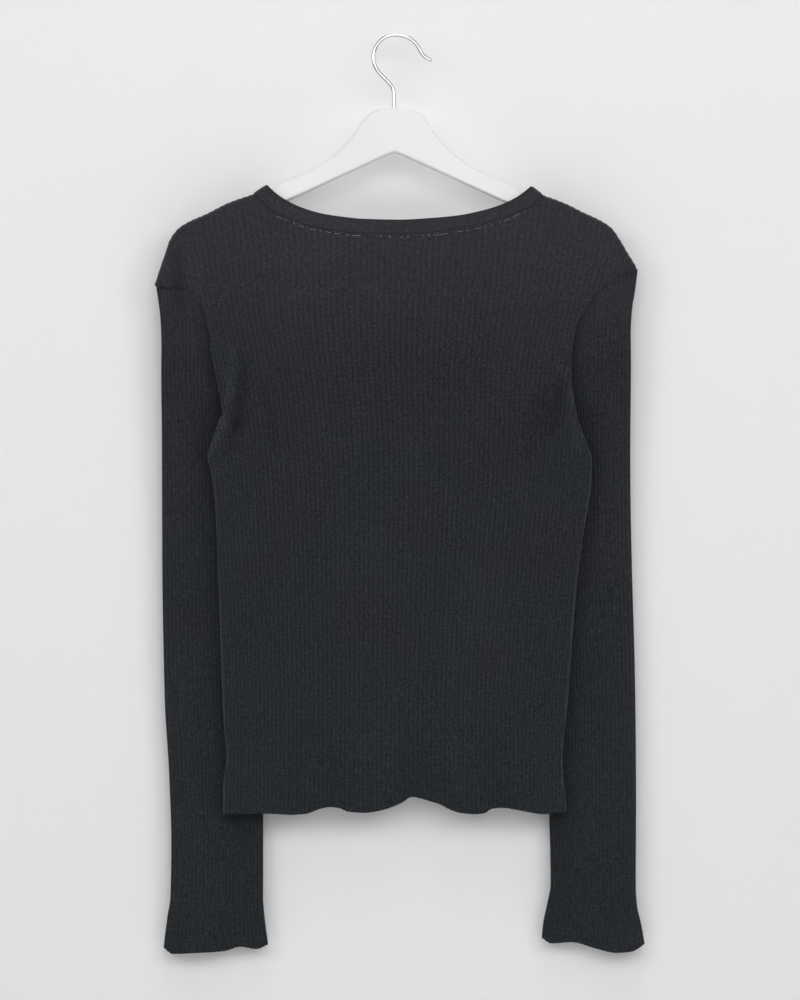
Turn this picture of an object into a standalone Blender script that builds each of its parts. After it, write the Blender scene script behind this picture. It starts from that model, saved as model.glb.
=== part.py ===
"""Rib-knit cardigan, buttoned up and hung by its shoulders on a flat wooden hanger.

The origin is the inside of the hook's top, where a rail or a peg carries it. +Z is up. The
cardigan's back faces -Y and its buttoned front faces +Y. Lengths here are millimetres and
become metres when a mesh is made.
"""

import math
from collections import namedtuple

import bmesh
import bpy
import numpy as np

MM = 0.001

# Cloth and sewing
CLOTH = 1.6              # thickness of one layer of the rib knit
BAND_CLOTH = 2.6         # the neckband is double
SEAM = 0.4               # gap between two pieces at a seam
LAP = 0.4                # gap between two layers that lie on each other
RIB_HEIGHT = 0.5
BODY_RIBS = 84           # ribs across the back, side seam to side seam
SLEEVE_RIBS = 52         # ribs all round a sleeve

# Body, seen from behind: x runs to the right, z is below the hook
HALF_GAP_HANGER = 8.4    # middle plane to the outer face, over the hanger
HALF_GAP = 7.0           # the same, below the hanger
HANGER_LEVEL = -195.0
GAP_CHANGE = 60.0        # height over which the body thins below the hanger
CREST_ROUND = 6.0        # how far below the shoulder line the cloth turns down
SIDE_ROUND = 6.0
EDGE_POWER = 2.6         # fullness of a rounded edge of the body
HEM_LEVEL = -700.0
FRONT_NECK_LEVEL = -246.0
SCOOP_POWER = 2.6        # roundness of the front neck
NECK_EDGE_LEVEL = -232.0  # the neckband's free edge at the front
BAND_ROUND = 5.0
NECK_SEAM = 1.0
BAND_PROUD = 1.3         # the neckband's face above the panels'
PLACKET_HALF = 11.0
BUTTON_COUNT = 8
BUTTON_RADIUS = 5.75
BUTTON_THICKNESS = 2.4

# Sleeves
SLEEVE_WIDTH = 88.0      # flat width of the sleeve's cloth
SLEEVE_DEPTH = 12.0
SECTION_POWER = 2.6      # roundness of a flattened sleeve's section
TIP_GAP = 1.6            # more room at the shoulder's tip, where the body's cloth turns over

# Hanger
HANGER_X = -1.0
HANGER_THICKNESS = 11.0
HANGER_EDGE = 2.5
HANGER_TOP = -64.0
WIRE_RADIUS = 1.8
HOLE_RADIUS = 2.2
HOLE_DEPTH = 12.0

Point = namedtuple("Point", "x z")
Edge = namedtuple("Edge", "z x depth")            # depth: middle plane to the outer face at the edge
Width = namedtuple("Width", "z outer inner")
Depth = namedtuple("Depth", "z outer_back inner_back front")
HemLevel = namedtuple("HemLevel", "across z")
Fold = namedtuple("Fold", "x0 z0 x1 z1 width height")
Trough = namedtuple("Trough", "x half_width depth lift start")

SHOULDER_LEFT = [
    Point(-216.5, -223.2), Point(-209.7, -205.7), Point(-206.6, -197.0), Point(-202.0, -184.5),
    Point(-194.4, -175.0), Point(-185.4, -169.2), Point(-171.0, -163.0), Point(-149.4, -152.1),
    Point(-128.7, -143.1),
]
SHOULDER_RIGHT = [
    Point(132.0, -143.6), Point(153.0, -151.2), Point(167.4, -158.4), Point(184.5, -166.0),
    Point(194.4, -172.8), Point(202.0, -183.6), Point(209.7, -196.7), Point(215.0, -205.0),
    Point(217.8, -210.6),
]
BACK_NECK = [
    Point(-121.5, -149.4), Point(-109.8, -159.3), Point(-96.3, -165.6), Point(-81.0, -171.4),
    Point(-58.5, -175.9), Point(-36.0, -178.5), Point(3.6, -179.6), Point(33.3, -177.8),
    Point(55.8, -174.3), Point(78.3, -170.6), Point(96.3, -165.4), Point(110.7, -159.3),
    Point(121.5, -153.9),
]
NECK_EDGE = [
    Point(-116.1, -134.0), Point(-108.0, -141.6), Point(-100.8, -146.7), Point(-87.3, -153.5),
    Point(-67.5, -159.7), Point(-51.3, -162.4), Point(-28.8, -164.7), Point(3.6, -165.4),
    Point(33.3, -163.8), Point(55.8, -161.6), Point(78.3, -157.0), Point(93.2, -152.4),
    Point(108.0, -145.4), Point(115.0, -140.6), Point(121.5, -135.2),
]

# Where the back's edge runs: armhole seam, the fold that hangs over the sleeve, side, hem
BACK_EDGE_LEFT = [
    Edge(-223.2, -216.5, 5.4), Edge(-225.6, -209.7, 5.4), Edge(-228.5, -191.7, 5.4),
    Edge(-248.4, -172.8, 5.2), Edge(-262.0, -171.0, 4.2), Edge(-285.0, -166.5, 4.2),
    Edge(-308.0, -162.0, 4.2), Edge(-330.0, -157.5, 4.2), Edge(-346.0, -155.7, 4.0),
    Edge(-360.0, -160.0, 3.0), Edge(-379.0, -170.0, 0.0), Edge(-392.0, -166.5, 0.0),
    Edge(-437.0, -162.0, 0.0), Edge(-525.0, -159.0, 0.0), Edge(-625.0, -154.8, 0.0),
    Edge(-648.0, -152.5, 0.0), Edge(-678.0, -155.8, 0.0), Edge(-700.0, -155.7, 0.0),
]
BACK_EDGE_RIGHT = [
    Edge(-210.6, 217.8, 5.4), Edge(-214.7, 203.4, 5.4), Edge(-222.3, 191.7, 5.4),
    Edge(-232.2, 180.9, 5.2), Edge(-245.7, 171.0, 5.2), Edge(-262.4, 162.0, 4.8),
    Edge(-284.0, 158.8, 4.2), Edge(-300.0, 157.5, 4.2), Edge(-322.0, 159.3, 4.2),
    Edge(-344.0, 163.3, 4.0), Edge(-363.0, 170.0, 3.0), Edge(-383.0, 176.4, 0.0),
    Edge(-409.0, 175.5, 0.0), Edge(-426.0, 172.8, 0.0), Edge(-454.0, 168.0, 0.0),
    Edge(-495.0, 162.9, 0.0), Edge(-598.0, 154.8, 0.0), Edge(-652.0, 150.2, 0.0),
    Edge(-697.5, 153.5, 0.0),
]
# The front's armholes are cut deeper than the back's
FRONT_EDGE_LEFT = [
    Edge(-223.2, -216.5, 5.4), Edge(-225.6, -209.7, 5.4), Edge(-228.7, -191.5, 5.4),
    Edge(-248.5, -172.8, 5.2), Edge(-280.4, -161.0, 6.0), Edge(-318.6, -151.0, 6.2),
    Edge(-354.0, -147.0, 5.6), Edge(-395.0, -165.0, 0.0),
]
FRONT_EDGE_RIGHT = [
    Edge(-210.6, 217.8, 5.4), Edge(-214.7, 203.4, 5.4), Edge(-216.2, 201.1, 5.4),
    Edge(-236.4, 177.8, 5.2), Edge(-269.0, 161.0, 6.0), Edge(-308.0, 149.0, 6.2),
    Edge(-354.0, 147.6, 5.6), Edge(-400.0, 174.5, 0.0), Edge(-409.0, 174.6, 0.0),
]

# A sleeve's seam on the body, from the shoulder's corner down to the underarm
CAP_LEFT = [
    Point(-216.5, -223.2), Point(-209.7, -225.6), Point(-192.3, -228.9), Point(-173.8, -248.5),
    Point(-162.0, -280.4), Point(-152.0, -318.6), Point(-148.0, -354.0),
]
CAP_RIGHT = [
    Point(217.8, -210.6), Point(203.4, -214.7), Point(201.9, -216.4), Point(179.6, -236.6),
    Point(163.2, -269.0), Point(150.6, -308.0), Point(148.6, -354.0),
]
WIDTH_LEFT = [
    Width(-223.2, -216.5, -138.0), Width(-238.0, -214.2, -138.0), Width(-255.0, -211.8, -138.0),
    Width(-284.0, -210.2, -138.0), Width(-368.0, -209.7, -138.0), Width(-400.0, -209.7, -129.0),
    Width(-463.0, -209.7, -121.0), Width(-598.0, -207.5, -119.0), Width(-667.0, -203.5, -120.6),
    Width(-729.0, -201.6, -120.6), Width(-778.0, -202.5, -120.6), Width(-795.0, -205.2, -119.3),
    Width(-824.0, -208.8, -115.5),
]
WIDTH_RIGHT = [
    Width(-210.6, 217.8, 140.0), Width(-227.7, 215.6, 140.0), Width(-244.4, 212.4, 140.0),
    Width(-270.0, 210.3, 140.0), Width(-371.0, 209.9, 140.0), Width(-414.0, 210.2, 133.0),
    Width(-461.0, 211.2, 131.0), Width(-598.0, 214.8, 134.0), Width(-690.0, 215.5, 138.6),
    Width(-765.0, 215.2, 140.4), Width(-785.0, 216.4, 137.0), Width(-800.0, 219.8, 133.8),
    Width(-822.0, 223.8, 131.5),
]
# Outer faces of a sleeve's two layers: the back layer at its outer and inner folds, the front layer
DEPTH_LEFT = [
    Depth(-223.2, -5.4, -5.4, 5.4), Depth(-229.0, -5.2, -5.2, 5.6), Depth(-248.5, -4.8, -3.0, 6.6),
    Depth(-262.0, -4.6, -1.8, 7.2), Depth(-291.0, -4.2, -0.5, 8.0), Depth(-320.0, -3.0, 2.0, 9.0),
    Depth(-336.0, -2.0, 7.0, 12.4), Depth(-354.0, -1.0, 12.2, 16.6), Depth(-420.0, 2.0, 11.4, 18.8),
    Depth(-500.0, 5.0, 10.4, 21.0), Depth(-824.0, 7.0, 10.4, 22.0),
]
DEPTH_RIGHT = [
    Depth(-210.6, -5.4, -5.4, 5.4), Depth(-216.4, -5.2, -5.2, 5.6), Depth(-236.6, -4.8, -4.0, 6.6),
    Depth(-262.4, -4.6, -2.2, 7.4), Depth(-284.0, -4.2, -1.0, 8.0), Depth(-300.0, -3.8, 0.2, 8.8),
    Depth(-335.0, -2.4, 7.0, 12.6), Depth(-354.0, -1.0, 12.2, 17.0), Depth(-420.0, 2.0, 11.4, 20.0),
    Depth(-500.0, 4.0, 10.4, 24.0), Depth(-822.0, 5.0, 10.4, 25.0),
]
CUFF_LEFT = [
    HemLevel(0.0, -820.0), HemLevel(0.1, -825.5), HemLevel(0.3, -824.3), HemLevel(0.6, -823.0),
    HemLevel(0.74, -819.3), HemLevel(0.88, -821.0), HemLevel(1.0, -817.0),
]
CUFF_RIGHT = [
    HemLevel(0.0, -817.0), HemLevel(0.15, -823.6), HemLevel(0.3, -824.4), HemLevel(0.5, -820.8),
    HemLevel(0.72, -815.4), HemLevel(0.9, -816.4), HemLevel(1.0, -811.5),
]

# Soft folds of the back, as ridges (+) and troughs (-) between two points
BACK_FOLDS = [
    Fold(-137.7, -270.0, -160.0, -366.0, 9.0, 2.2), Fold(-134.0, -290.0, -141.0, -352.0, 8.0, -2.0),
    Fold(150.0, -316.0, 139.0, -356.0, 9.0, -2.2), Fold(153.0, -306.0, 166.0, -366.0, 7.0, 1.8),
]
# Troughs of the hem, which run up the cloth to their start
HEM_TROUGHS = [
    Trough(-60.0, 13.0, 5.0, 5.5, -628.0), Trough(15.0, 17.0, 8.0, 13.0, -560.0),
    Trough(90.0, 15.0, 5.0, 5.0, -620.0), Trough(-27.0, 18.0, -3.0, 0.0, -610.0),
    Trough(60.0, 17.0, -3.0, 0.0, -600.0),
]

# Right half of the hanger's outline, from the middle of its top to the middle of its lower edge
HANGER_OUTLINE = [
    Point(0.0, -64.0), Point(12.0, -64.8), Point(18.0, -66.8), Point(24.0, -70.6), Point(30.0, -77.2),
    Point(37.0, -88.0), Point(46.0, -98.2), Point(56.0, -107.8), Point(73.0, -118.6),
    Point(92.0, -127.4), Point(104.0, -132.8), Point(109.0, -136.2), Point(115.0, -141.4),
    Point(121.0, -146.6), Point(130.0, -151.0), Point(150.0, -159.4), Point(168.0, -168.0),
    Point(178.0, -173.6), Point(183.5, -178.0), Point(185.0, -182.0), Point(183.0, -185.6),
    Point(179.0, -185.8), Point(173.0, -183.1), Point(6.0, -106.4), Point(0.0, -104.5),
]
# Middle of the hook's wire, from inside the hanger's hole to the tip
HOOK_ROUTE = [
    Point(-2.0, -75.0), Point(-2.0, -60.0), Point(-2.1, -50.0), Point(-3.8, -44.4), Point(-9.0, -38.6),
    Point(-15.2, -32.2), Point(-18.6, -26.8), Point(-20.4, -20.0), Point(-19.6, -12.6),
    Point(-15.8, -5.2), Point(-9.2, -0.1), Point(0.0, 1.8), Point(8.6, 0.3), Point(15.4, -3.6),
    Point(20.2, -9.2), Point(22.8, -14.2), Point(26.2, -18.0), Point(31.0, -20.6),
]
BUTTON_LEVELS = [-246.0 - 60.0 * i for i in range(BUTTON_COUNT)]

# Share of the way down at which the walls have a row of points, and where a neck corner falls
BACK_ROWS = [0.0, 0.002, 0.0055, 0.0115, 0.053, 0.12, 0.2, 0.27, 0.33, 0.45, 0.82, 1.0]
FRONT_ROWS_LEFT = [0.0, 0.002, 0.0055, 0.0115, 0.053, 0.12, 0.2, 0.2743, 0.3603, 0.45, 0.82, 1.0]
FRONT_ROWS_RIGHT = [0.0, 0.002, 0.0055, 0.0115, 0.053, 0.12, 0.2, 0.2945, 0.389, 0.45, 0.82, 1.0]
SLEEVE_ROWS = [0.0, 0.02, 0.08, 0.18, 0.3, 0.5, 0.88, 0.95, 1.0]
BACK_CORNERS = [34, 135]
TIP_SHARE = 0.2          # share of the back's width that takes up the armhole's sharp corner
FRONT_CORNER = 46

CHARCOAL = (0.021, 0.024, 0.029, 1.0)
BUTTON_BLACK = (0.012, 0.012, 0.014, 1.0)
WHITE_PAINT = (0.82, 0.82, 0.80, 1.0)
CHROME = (0.80, 0.80, 0.82, 1.0)


# ---------------------------------------------------------------- scene and materials

def clear_scene():
    """Remove every object that the scene starts with."""
    for obj in list(bpy.data.objects):
        bpy.data.objects.remove(obj, do_unlink=True)


def make_material(name, colour, roughness, metallic=0.0):
    """Make a plain Principled material."""
    material = bpy.data.materials.new(name)
    material.use_nodes = True
    shader = material.node_tree.nodes["Principled BSDF"]
    shader.inputs["Base Color"].default_value = colour
    shader.inputs["Roughness"].default_value = roughness
    shader.inputs["Metallic"].default_value = metallic
    return material


def add_object(name, mesh, material, collection):
    """Link a mesh as a named object with one material."""
    mesh.materials.clear()
    mesh.materials.append(material)
    obj = bpy.data.objects.new(name, mesh)
    collection.objects.link(obj)
    return obj


# ---------------------------------------------------------------- curves and shapes

def column(rows, name):
    """One named column of a table, as an array."""
    return np.array([getattr(row, name) for row in rows])


def down(z, rows, name):
    """Read a table whose rows run downwards, at height z."""
    return np.interp(-np.asarray(z, float), -column(rows, "z"), column(rows, name))


def ease(t):
    """Smooth step from 0 to 1."""
    t = np.clip(t, 0.0, 1.0)
    return t * t * (3.0 - 2.0 * t)


def round_over(distance, reach):
    """Quarter of a full ellipse: 0 at an edge, 1 from `reach` inwards."""
    t = np.clip(np.asarray(distance) / reach, 0.0, 1.0)
    return np.clip(1.0 - (1.0 - t) ** EDGE_POWER, 0.0, 1.0) ** (1.0 / EDGE_POWER)


def distance_to(points, x, z):
    """Distance in the x-z plane from each (x, z) to a run of points."""
    best = np.full(np.shape(x), 1e9)
    for a, b in zip(points[:-1], points[1:]):
        run, rise = b.x - a.x, b.z - a.z
        t = ((x - a.x) * run + (z - a.z) * rise) / (run * run + rise * rise)
        t = np.clip(t, 0.0, 1.0)
        best = np.minimum(best, np.hypot(x - a.x - t * run, z - a.z - t * rise))
    return best


def shoulder_distance(x, z):
    """Distance to the nearer shoulder line."""
    return np.minimum(distance_to(SHOULDER_LEFT, x, z), distance_to(SHOULDER_RIGHT, x, z))


def body_half_gap(z):
    """Middle plane to the cloth's outer face: thicker over the hanger."""
    return HALF_GAP_HANGER + (HALF_GAP - HALF_GAP_HANGER) * ease((HANGER_LEVEL - z) / GAP_CHANGE)


def fold_height(folds, x, z):
    """Sum of soft ridges and troughs at (x, z)."""
    total = np.zeros(np.shape(x))
    for fold in folds:
        ends = [Point(fold.x0, fold.z0), Point(fold.x1, fold.z1)]
        total += fold.height * np.exp(-(distance_to(ends, x, z) / fold.width) ** 2)
    return total


def trough_depth(x, z, name="depth"):
    """Sum of the hem's troughs at (x, z): how far the cloth goes in, or how far its edge lifts."""
    total = np.zeros(np.shape(x))
    for trough in HEM_TROUGHS:
        along = ease((trough.start - z) / (trough.start - HEM_LEVEL))
        total += getattr(trough, name) * along * np.exp(-((x - trough.x) / trough.half_width) ** 2)
    return total


# ---------------------------------------------------------------- walls of cloth

def surface_normals(surface, u, v):
    """Unit normals of surface(u, v) by small steps that stay inside the unit square."""
    step = 1e-4
    u0, u1 = np.clip(u - step, 0, 1), np.clip(u + step, 0, 1)
    v0, v1 = np.clip(v - step, 0, 1), np.clip(v + step, 0, 1)
    along_u = surface(u1, v) - surface(u0, v)
    along_v = surface(u, v1) - surface(u, v0)
    normal = np.cross(along_u, along_v)
    return normal / np.linalg.norm(normal, axis=-1, keepdims=True)


def strip_faces(first, second, first_at, second_at):
    """Triangles between two runs of vertices that are placed at the given parameters."""
    faces = []
    i = j = 0
    while i < len(first) - 1 or j < len(second) - 1:
        next_first = first_at[i + 1] if i < len(first) - 1 else math.inf
        next_second = second_at[j + 1] if j < len(second) - 1 else math.inf
        if next_first <= next_second:
            faces.append((first[i], first[i + 1], second[j]))
            i += 1
        else:
            faces.append((first[i], second[j + 1], second[j]))
            j += 1
    return faces


def wall_mesh(name, outer, inner, outer_at, inner_at, closed=False):
    """Closed wall between an outer and an inner grid of points (rows x columns x 3, in mm).

    `outer_at` and `inner_at` place the grids' columns along the wall. A closed wall is a tube,
    whose last column joins its first.
    """
    mesh = bpy.data.meshes.new(name)
    bm = bmesh.new()

    def add_grid(grid):
        return [[bm.verts.new(point * MM) for point in row] for row in grid]

    def grid_faces(verts, flip):
        for upper, lower in zip(verts[:-1], verts[1:]):
            count = len(upper)
            for i in range(count if closed else count - 1):
                j = (i + 1) % count
                corners = (upper[i], upper[j], lower[j], lower[i])
                bm.faces.new(corners[::-1] if flip else corners)

    outer_verts = add_grid(outer)
    inner_verts = add_grid(inner)
    grid_faces(outer_verts, False)
    grid_faces(inner_verts, True)
    for row in (0, -1):
        first, second = outer_verts[row], inner_verts[row]
        first_at, second_at = list(outer_at), list(inner_at)
        if closed:
            first, second = first + first[:1], second + second[:1]
            first_at, second_at = first_at + [1.0], second_at + [1.0]
        for face in strip_faces(first, second, first_at, second_at):
            bm.faces.new(face)
    if not closed:
        for side in (0, -1):
            for k in range(len(outer) - 1):
                bm.faces.new((outer_verts[k][side], outer_verts[k + 1][side],
                              inner_verts[k + 1][side], inner_verts[k][side]))
    bmesh.ops.recalc_face_normals(bm, faces=bm.faces)
    bm.to_mesh(mesh)
    bm.free()
    return mesh


def panel_mesh(name, panel, rows, half_ribs, corners):
    """Wall of rib knit over a panel, with its ribs raised down the columns.

    The plain inside has fewer columns, but all those at its ends and beside the neck's corners.
    """
    outer_u = np.linspace(0.0, 1.0, half_ribs + 1)
    kept = {0, 1, 2, half_ribs - 2, half_ribs - 1, half_ribs} | set(range(6, half_ribs - 3, 6))
    for corner in corners:
        kept |= set(range(corner - 2, corner + 3))
    inner_u = outer_u[sorted(kept)]
    outer, outer_normal = panel.face(*np.meshgrid(outer_u, rows))
    inner, inner_normal = panel.face(*np.meshgrid(inner_u, rows))
    raised = RIB_HEIGHT * (np.arange(half_ribs + 1) % 2)
    outer = outer + outer_normal * raised[None, :, None]
    inner = inner - inner_normal * CLOTH
    inner[..., 1] = panel.outward * np.maximum(SEAM / 2, panel.outward * inner[..., 1])
    return wall_mesh(name, outer, inner, outer_u, inner_u)


# ---------------------------------------------------------------- body

FRONT_TROUGH = 0.25     # how much of the back's troughs the front shares
BACK_TOP = SHOULDER_LEFT + BACK_NECK + SHOULDER_RIGHT


def back_top_level(x):
    """Height of the back's upper edge: shoulder, neck, shoulder."""
    return np.interp(x, column(BACK_TOP, "x"), column(BACK_TOP, "z"))


def front_top_level(x):
    """Height of a front's upper edge: the neck is a round scoop between the shoulders."""
    crest = SHOULDER_LEFT + SHOULDER_RIGHT
    shoulder = np.interp(x, column(crest, "x"), column(crest, "z"))
    left, right = SHOULDER_LEFT[-1], SHOULDER_RIGHT[0]
    reach = np.where(x < 0.0, x / left.x, x / right.x)
    corner = np.where(x < 0.0, left.z, right.z)
    scoop = FRONT_NECK_LEVEL + (corner - FRONT_NECK_LEVEL) * np.abs(reach) ** SCOOP_POWER
    return np.where(reach < 1.0, scoop, shoulder)


def hem_level(x, u):
    """Height of the hem across the body, lifted where it is folded in."""
    ends = HEM_LEVEL + (BACK_EDGE_RIGHT[-1].z - HEM_LEVEL) * u
    return ends + trough_depth(x, HEM_LEVEL, "lift")


def easy_line(z, edge_x, tip_x):
    """A gentler line than the edge for the columns to follow, from the shoulder's tip to the side."""
    level = np.array([-140.0, -225.0, -262.0, -308.0, -350.0, -385.0])
    share = np.array([1.0, 0.96, 0.6, 0.25, 0.08, 0.0])
    keep = np.interp(-z, -level, share)
    return edge_x + (tip_x - edge_x) * keep


def spread(u, squeeze):
    """Across the body, ribs lie closer towards the sides by `squeeze`."""
    n = 2.0 * u - 1.0
    return (n - squeeze * n ** 3 / 3.0) / (1.0 - squeeze / 3.0)


def rib_squeeze(v):
    """How much closer the ribs lie at the sides, from the shoulders down to the hem."""
    return np.interp(v, [0.0, 0.08, 0.5, 1.0], [0.0, 0.30, 0.15, 0.1])


class Panel:
    """One flat layer of the body: where its columns and rows lie, and how far out its face is."""

    outward = -1.0

    def face(self, u, v):
        """Points of the cloth's face and its unit normals, u across and v down."""
        x, z, near = self.place(u, v)
        y = self.outward * (SEAM / 2 + self.depth(x, z, near))
        step = 0.3
        slope_x = (self.depth(x + step, z, near) - self.depth(x - step, z, near)) / (2 * step)
        slope_z = (self.depth(x, z, near) - self.depth(x, z - 2 * step, near)) / (2 * step)
        normal = np.stack([-slope_x, np.full(x.shape, self.outward), -slope_z], axis=-1)
        normal /= np.linalg.norm(normal, axis=-1, keepdims=True)
        return np.stack([x, y, z], axis=-1), normal


class Back(Panel):
    """The back, from side to side."""

    def place(self, u, v):
        """Columns run from the shoulders and the neck to the hem, u from left to right."""
        tip_left, tip_right = BACK_EDGE_LEFT[0], BACK_EDGE_RIGHT[0]
        z_left = tip_left.z + v * (BACK_EDGE_LEFT[-1].z - tip_left.z)
        z_right = tip_right.z + v * (BACK_EDGE_RIGHT[-1].z - tip_right.z)
        left, right = down(z_left, BACK_EDGE_LEFT, "x"), down(z_right, BACK_EDGE_RIGHT, "x")
        line_left, line_right = easy_line(z_left, left, tip_left.x), easy_line(z_right, right, tip_right.x)
        x = (line_left + line_right) / 2 + (line_right - line_left) / 2 * spread(u, rib_squeeze(v))
        x += (left - line_left) * np.clip(1.0 - u / TIP_SHARE, 0.0, 1.0)
        x += (right - line_right) * np.clip(1.0 - (1.0 - u) / TIP_SHARE, 0.0, 1.0)
        top = back_top_level(tip_left.x + u * (tip_right.x - tip_left.x))
        hem_x = BACK_EDGE_LEFT[-1].x + u * (BACK_EDGE_RIGHT[-1].x - BACK_EDGE_LEFT[-1].x)
        z = top + (hem_level(hem_x, u) - top) * v
        near = (left, right, down(z_left, BACK_EDGE_LEFT, "depth"), down(z_right, BACK_EDGE_RIGHT, "depth"))
        return x, z, near

    def depth(self, x, z, near):
        """Middle plane to the face, rounded off at the sides and the shoulders."""
        left, right, edge_left, edge_right = near
        half_gap = body_half_gap(z)
        depth = half_gap
        for distance, edge in ((x - left, edge_left), (right - x, edge_right)):
            depth = np.minimum(depth, edge + (half_gap - edge) * round_over(distance, SIDE_ROUND))
        depth = depth * round_over(shoulder_distance(x, z), CREST_ROUND)
        return depth + fold_height(BACK_FOLDS, x, z) * (depth > 1.0) - trough_depth(x, z)


class Front(Panel):
    """One front, from the placket to the armhole and the side."""

    outward = 1.0

    def __init__(self, side):
        armhole, back_edge = (
            (FRONT_EDGE_LEFT, BACK_EDGE_LEFT) if side < 0 else (FRONT_EDGE_RIGHT, BACK_EDGE_RIGHT))
        self.side = side
        self.edge = armhole + [row for row in back_edge if row.z < armhole[-1].z]

    def place(self, u, v):
        """Columns run down from the shoulder and the neck, u from the placket outwards."""
        edge, placket = self.edge, self.side * (PLACKET_HALF + SEAM)
        z_edge = edge[0].z + v * (edge[-1].z - edge[0].z)
        outer = down(z_edge, edge, "x")
        line = easy_line(z_edge, outer, edge[0].x)
        x = placket + (line - placket) * (u + 0.5 * rib_squeeze(v) * u * (1.0 - u))
        x += (outer - line) * np.clip(1.0 - (1.0 - u) / (2 * TIP_SHARE), 0.0, 1.0)
        top = front_top_level(placket + (edge[0].x - placket) * u)
        hem_x = placket + (edge[-1].x - placket) * u
        z = top + (hem_level(hem_x, (1 + self.side * u) / 2) - top) * v
        return x, z, (outer, down(z_edge, edge, "depth"))

    def depth(self, x, z, near):
        """Middle plane to the face."""
        outer, edge_depth = near
        half_gap = body_half_gap(z)
        inside = self.side * (outer - x)
        depth = edge_depth + (half_gap - edge_depth) * round_over(inside, SIDE_ROUND)
        return depth * round_over(shoulder_distance(x, z), CREST_ROUND) + FRONT_TROUGH * trough_depth(x, z)


def make_body(material, collection):
    """Back and two fronts."""
    back = panel_mesh("back", Back(), BACK_ROWS, 2 * BODY_RIBS, BACK_CORNERS)
    add_object("back", back, material, collection)
    for name, side, rows in (("front_left", -1, FRONT_ROWS_LEFT), ("front_right", 1, FRONT_ROWS_RIGHT)):
        mesh = panel_mesh(name, Front(side), rows, BODY_RIBS - 4, [FRONT_CORNER])
        add_object(name, mesh, material, collection)


# ---------------------------------------------------------------- sleeves

class SleeveCut:
    """One sleeve's outline, its seam on the body and the faces of its two layers."""

    def __init__(self, cap, widths, depths, cuff, retreat):
        self.cap, self.widths, self.depths, self.cuff = cap, widths, depths, cuff
        self.retreat = retreat                    # where across the sleeve its back layer goes in
        across = np.linspace(0.0, 1.0, 401)
        seam = np.array([self.across_at(point.x, point.z, across) for point in cap])
        self.cap_across, self.cap_z = seam, column(cap, "z")

    def x_at(self, across, z):
        """Place a line of the cloth across the sleeve: the hidden inner part takes up the slack."""
        outer, inner = down(z, self.widths, "outer"), down(z, self.widths, "inner")
        sign = np.sign(inner - outer)
        slack = SLEEVE_WIDTH - np.abs(inner - outer)
        reach = across * SLEEVE_WIDTH - slack * ease((across - 0.4) / 0.6)
        return outer + sign * reach

    def across_at(self, x, z, samples):
        """Find how far across the sleeve the point (x, z) lies."""
        places = np.abs(self.x_at(samples, z) - down(z, self.widths, "outer"))
        return float(np.interp(abs(x - down(z, self.widths, "outer")), places, samples))

    def seam_level(self, across):
        """Height at which a line of the cloth leaves the body."""
        return np.interp(across, self.cap_across, self.cap_z)

    def surface(self, u, v, inside=0.0):
        """Face of the cloth, or a face `inside` it: u runs round from the outer fold over the back."""
        across = section_across(u)
        back = np.where(u <= 0.5, -1.0, 1.0)
        start = self.seam_level(across) - SEAM - TIP_GAP * np.exp(-(across / 0.05) ** 2)
        end = np.interp(across, column(self.cuff, "across"), column(self.cuff, "z"))
        z = start + (end - start) * v
        x = self.x_at(across, z)
        inwards = ease((across - self.retreat[0]) / (self.retreat[1] - self.retreat[0]))
        outer_back = down(z, self.depths, "outer_back")
        back_face = outer_back + (down(z, self.depths, "inner_back") - outer_back) * inwards
        front_face = down(z, self.depths, "front")
        middle, half = (back_face + front_face) / 2, (front_face - back_face) / 2
        folds = (down(z, self.widths, "outer") + down(z, self.widths, "inner")) / 2
        x = folds + (x - folds) * (1.0 - 2.0 * inside / SLEEVE_WIDTH * 1.15)
        half = np.maximum(half - inside, 0.4)
        profile = np.clip(1.0 - np.abs(2 * across - 1) ** SECTION_POWER, 0, 1) ** (1 / SECTION_POWER)
        wave = 2.5 * ease((-740.0 - z) / 80.0) * np.sin(2 * math.pi * (1.6 * across + 0.1))
        return np.stack([x, middle + back * half * profile + wave, z], axis=-1)


def section_table():
    """Share of the way round a sleeve's flattened section against the way across it."""
    across = (1.0 - np.cos(np.linspace(0.0, math.pi, 721))) / 2.0
    power = SECTION_POWER
    profile = np.clip(1.0 - np.abs(2 * across - 1) ** power, 0, 1) ** (1 / power)
    steps = np.hypot(np.diff(across * SLEEVE_WIDTH), np.diff(profile * SLEEVE_DEPTH / 2))
    length = np.concatenate([[0.0], np.cumsum(steps)])
    return length / length[-1] / 2.0, across


SECTION_LENGTH, SECTION_ACROSS = section_table()


def section_across(u):
    """How far across the sleeve the point at share u of the way round lies."""
    half = np.where(u <= 0.5, u, 1.0 - u)
    return np.interp(half, SECTION_LENGTH, SECTION_ACROSS)


def sleeve_mesh(name, cut, outward):
    """Tube of rib knit with an open top and an open cuff."""
    count = 2 * SLEEVE_RIBS
    rows = np.array(SLEEVE_ROWS)
    outer_u = np.arange(count) / count
    inner_u = outer_u[::4]

    u, v = np.meshgrid(outer_u, rows)
    raised = RIB_HEIGHT * (np.arange(count) % 2)
    outer = cut.surface(u, v) + outward * tube_normals(cut.surface, u, v) * raised[None, :, None]
    inner = cut.surface(*np.meshgrid(inner_u, rows), CLOTH)
    return wall_mesh(name, outer, inner, outer_u, inner_u, closed=True)


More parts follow.
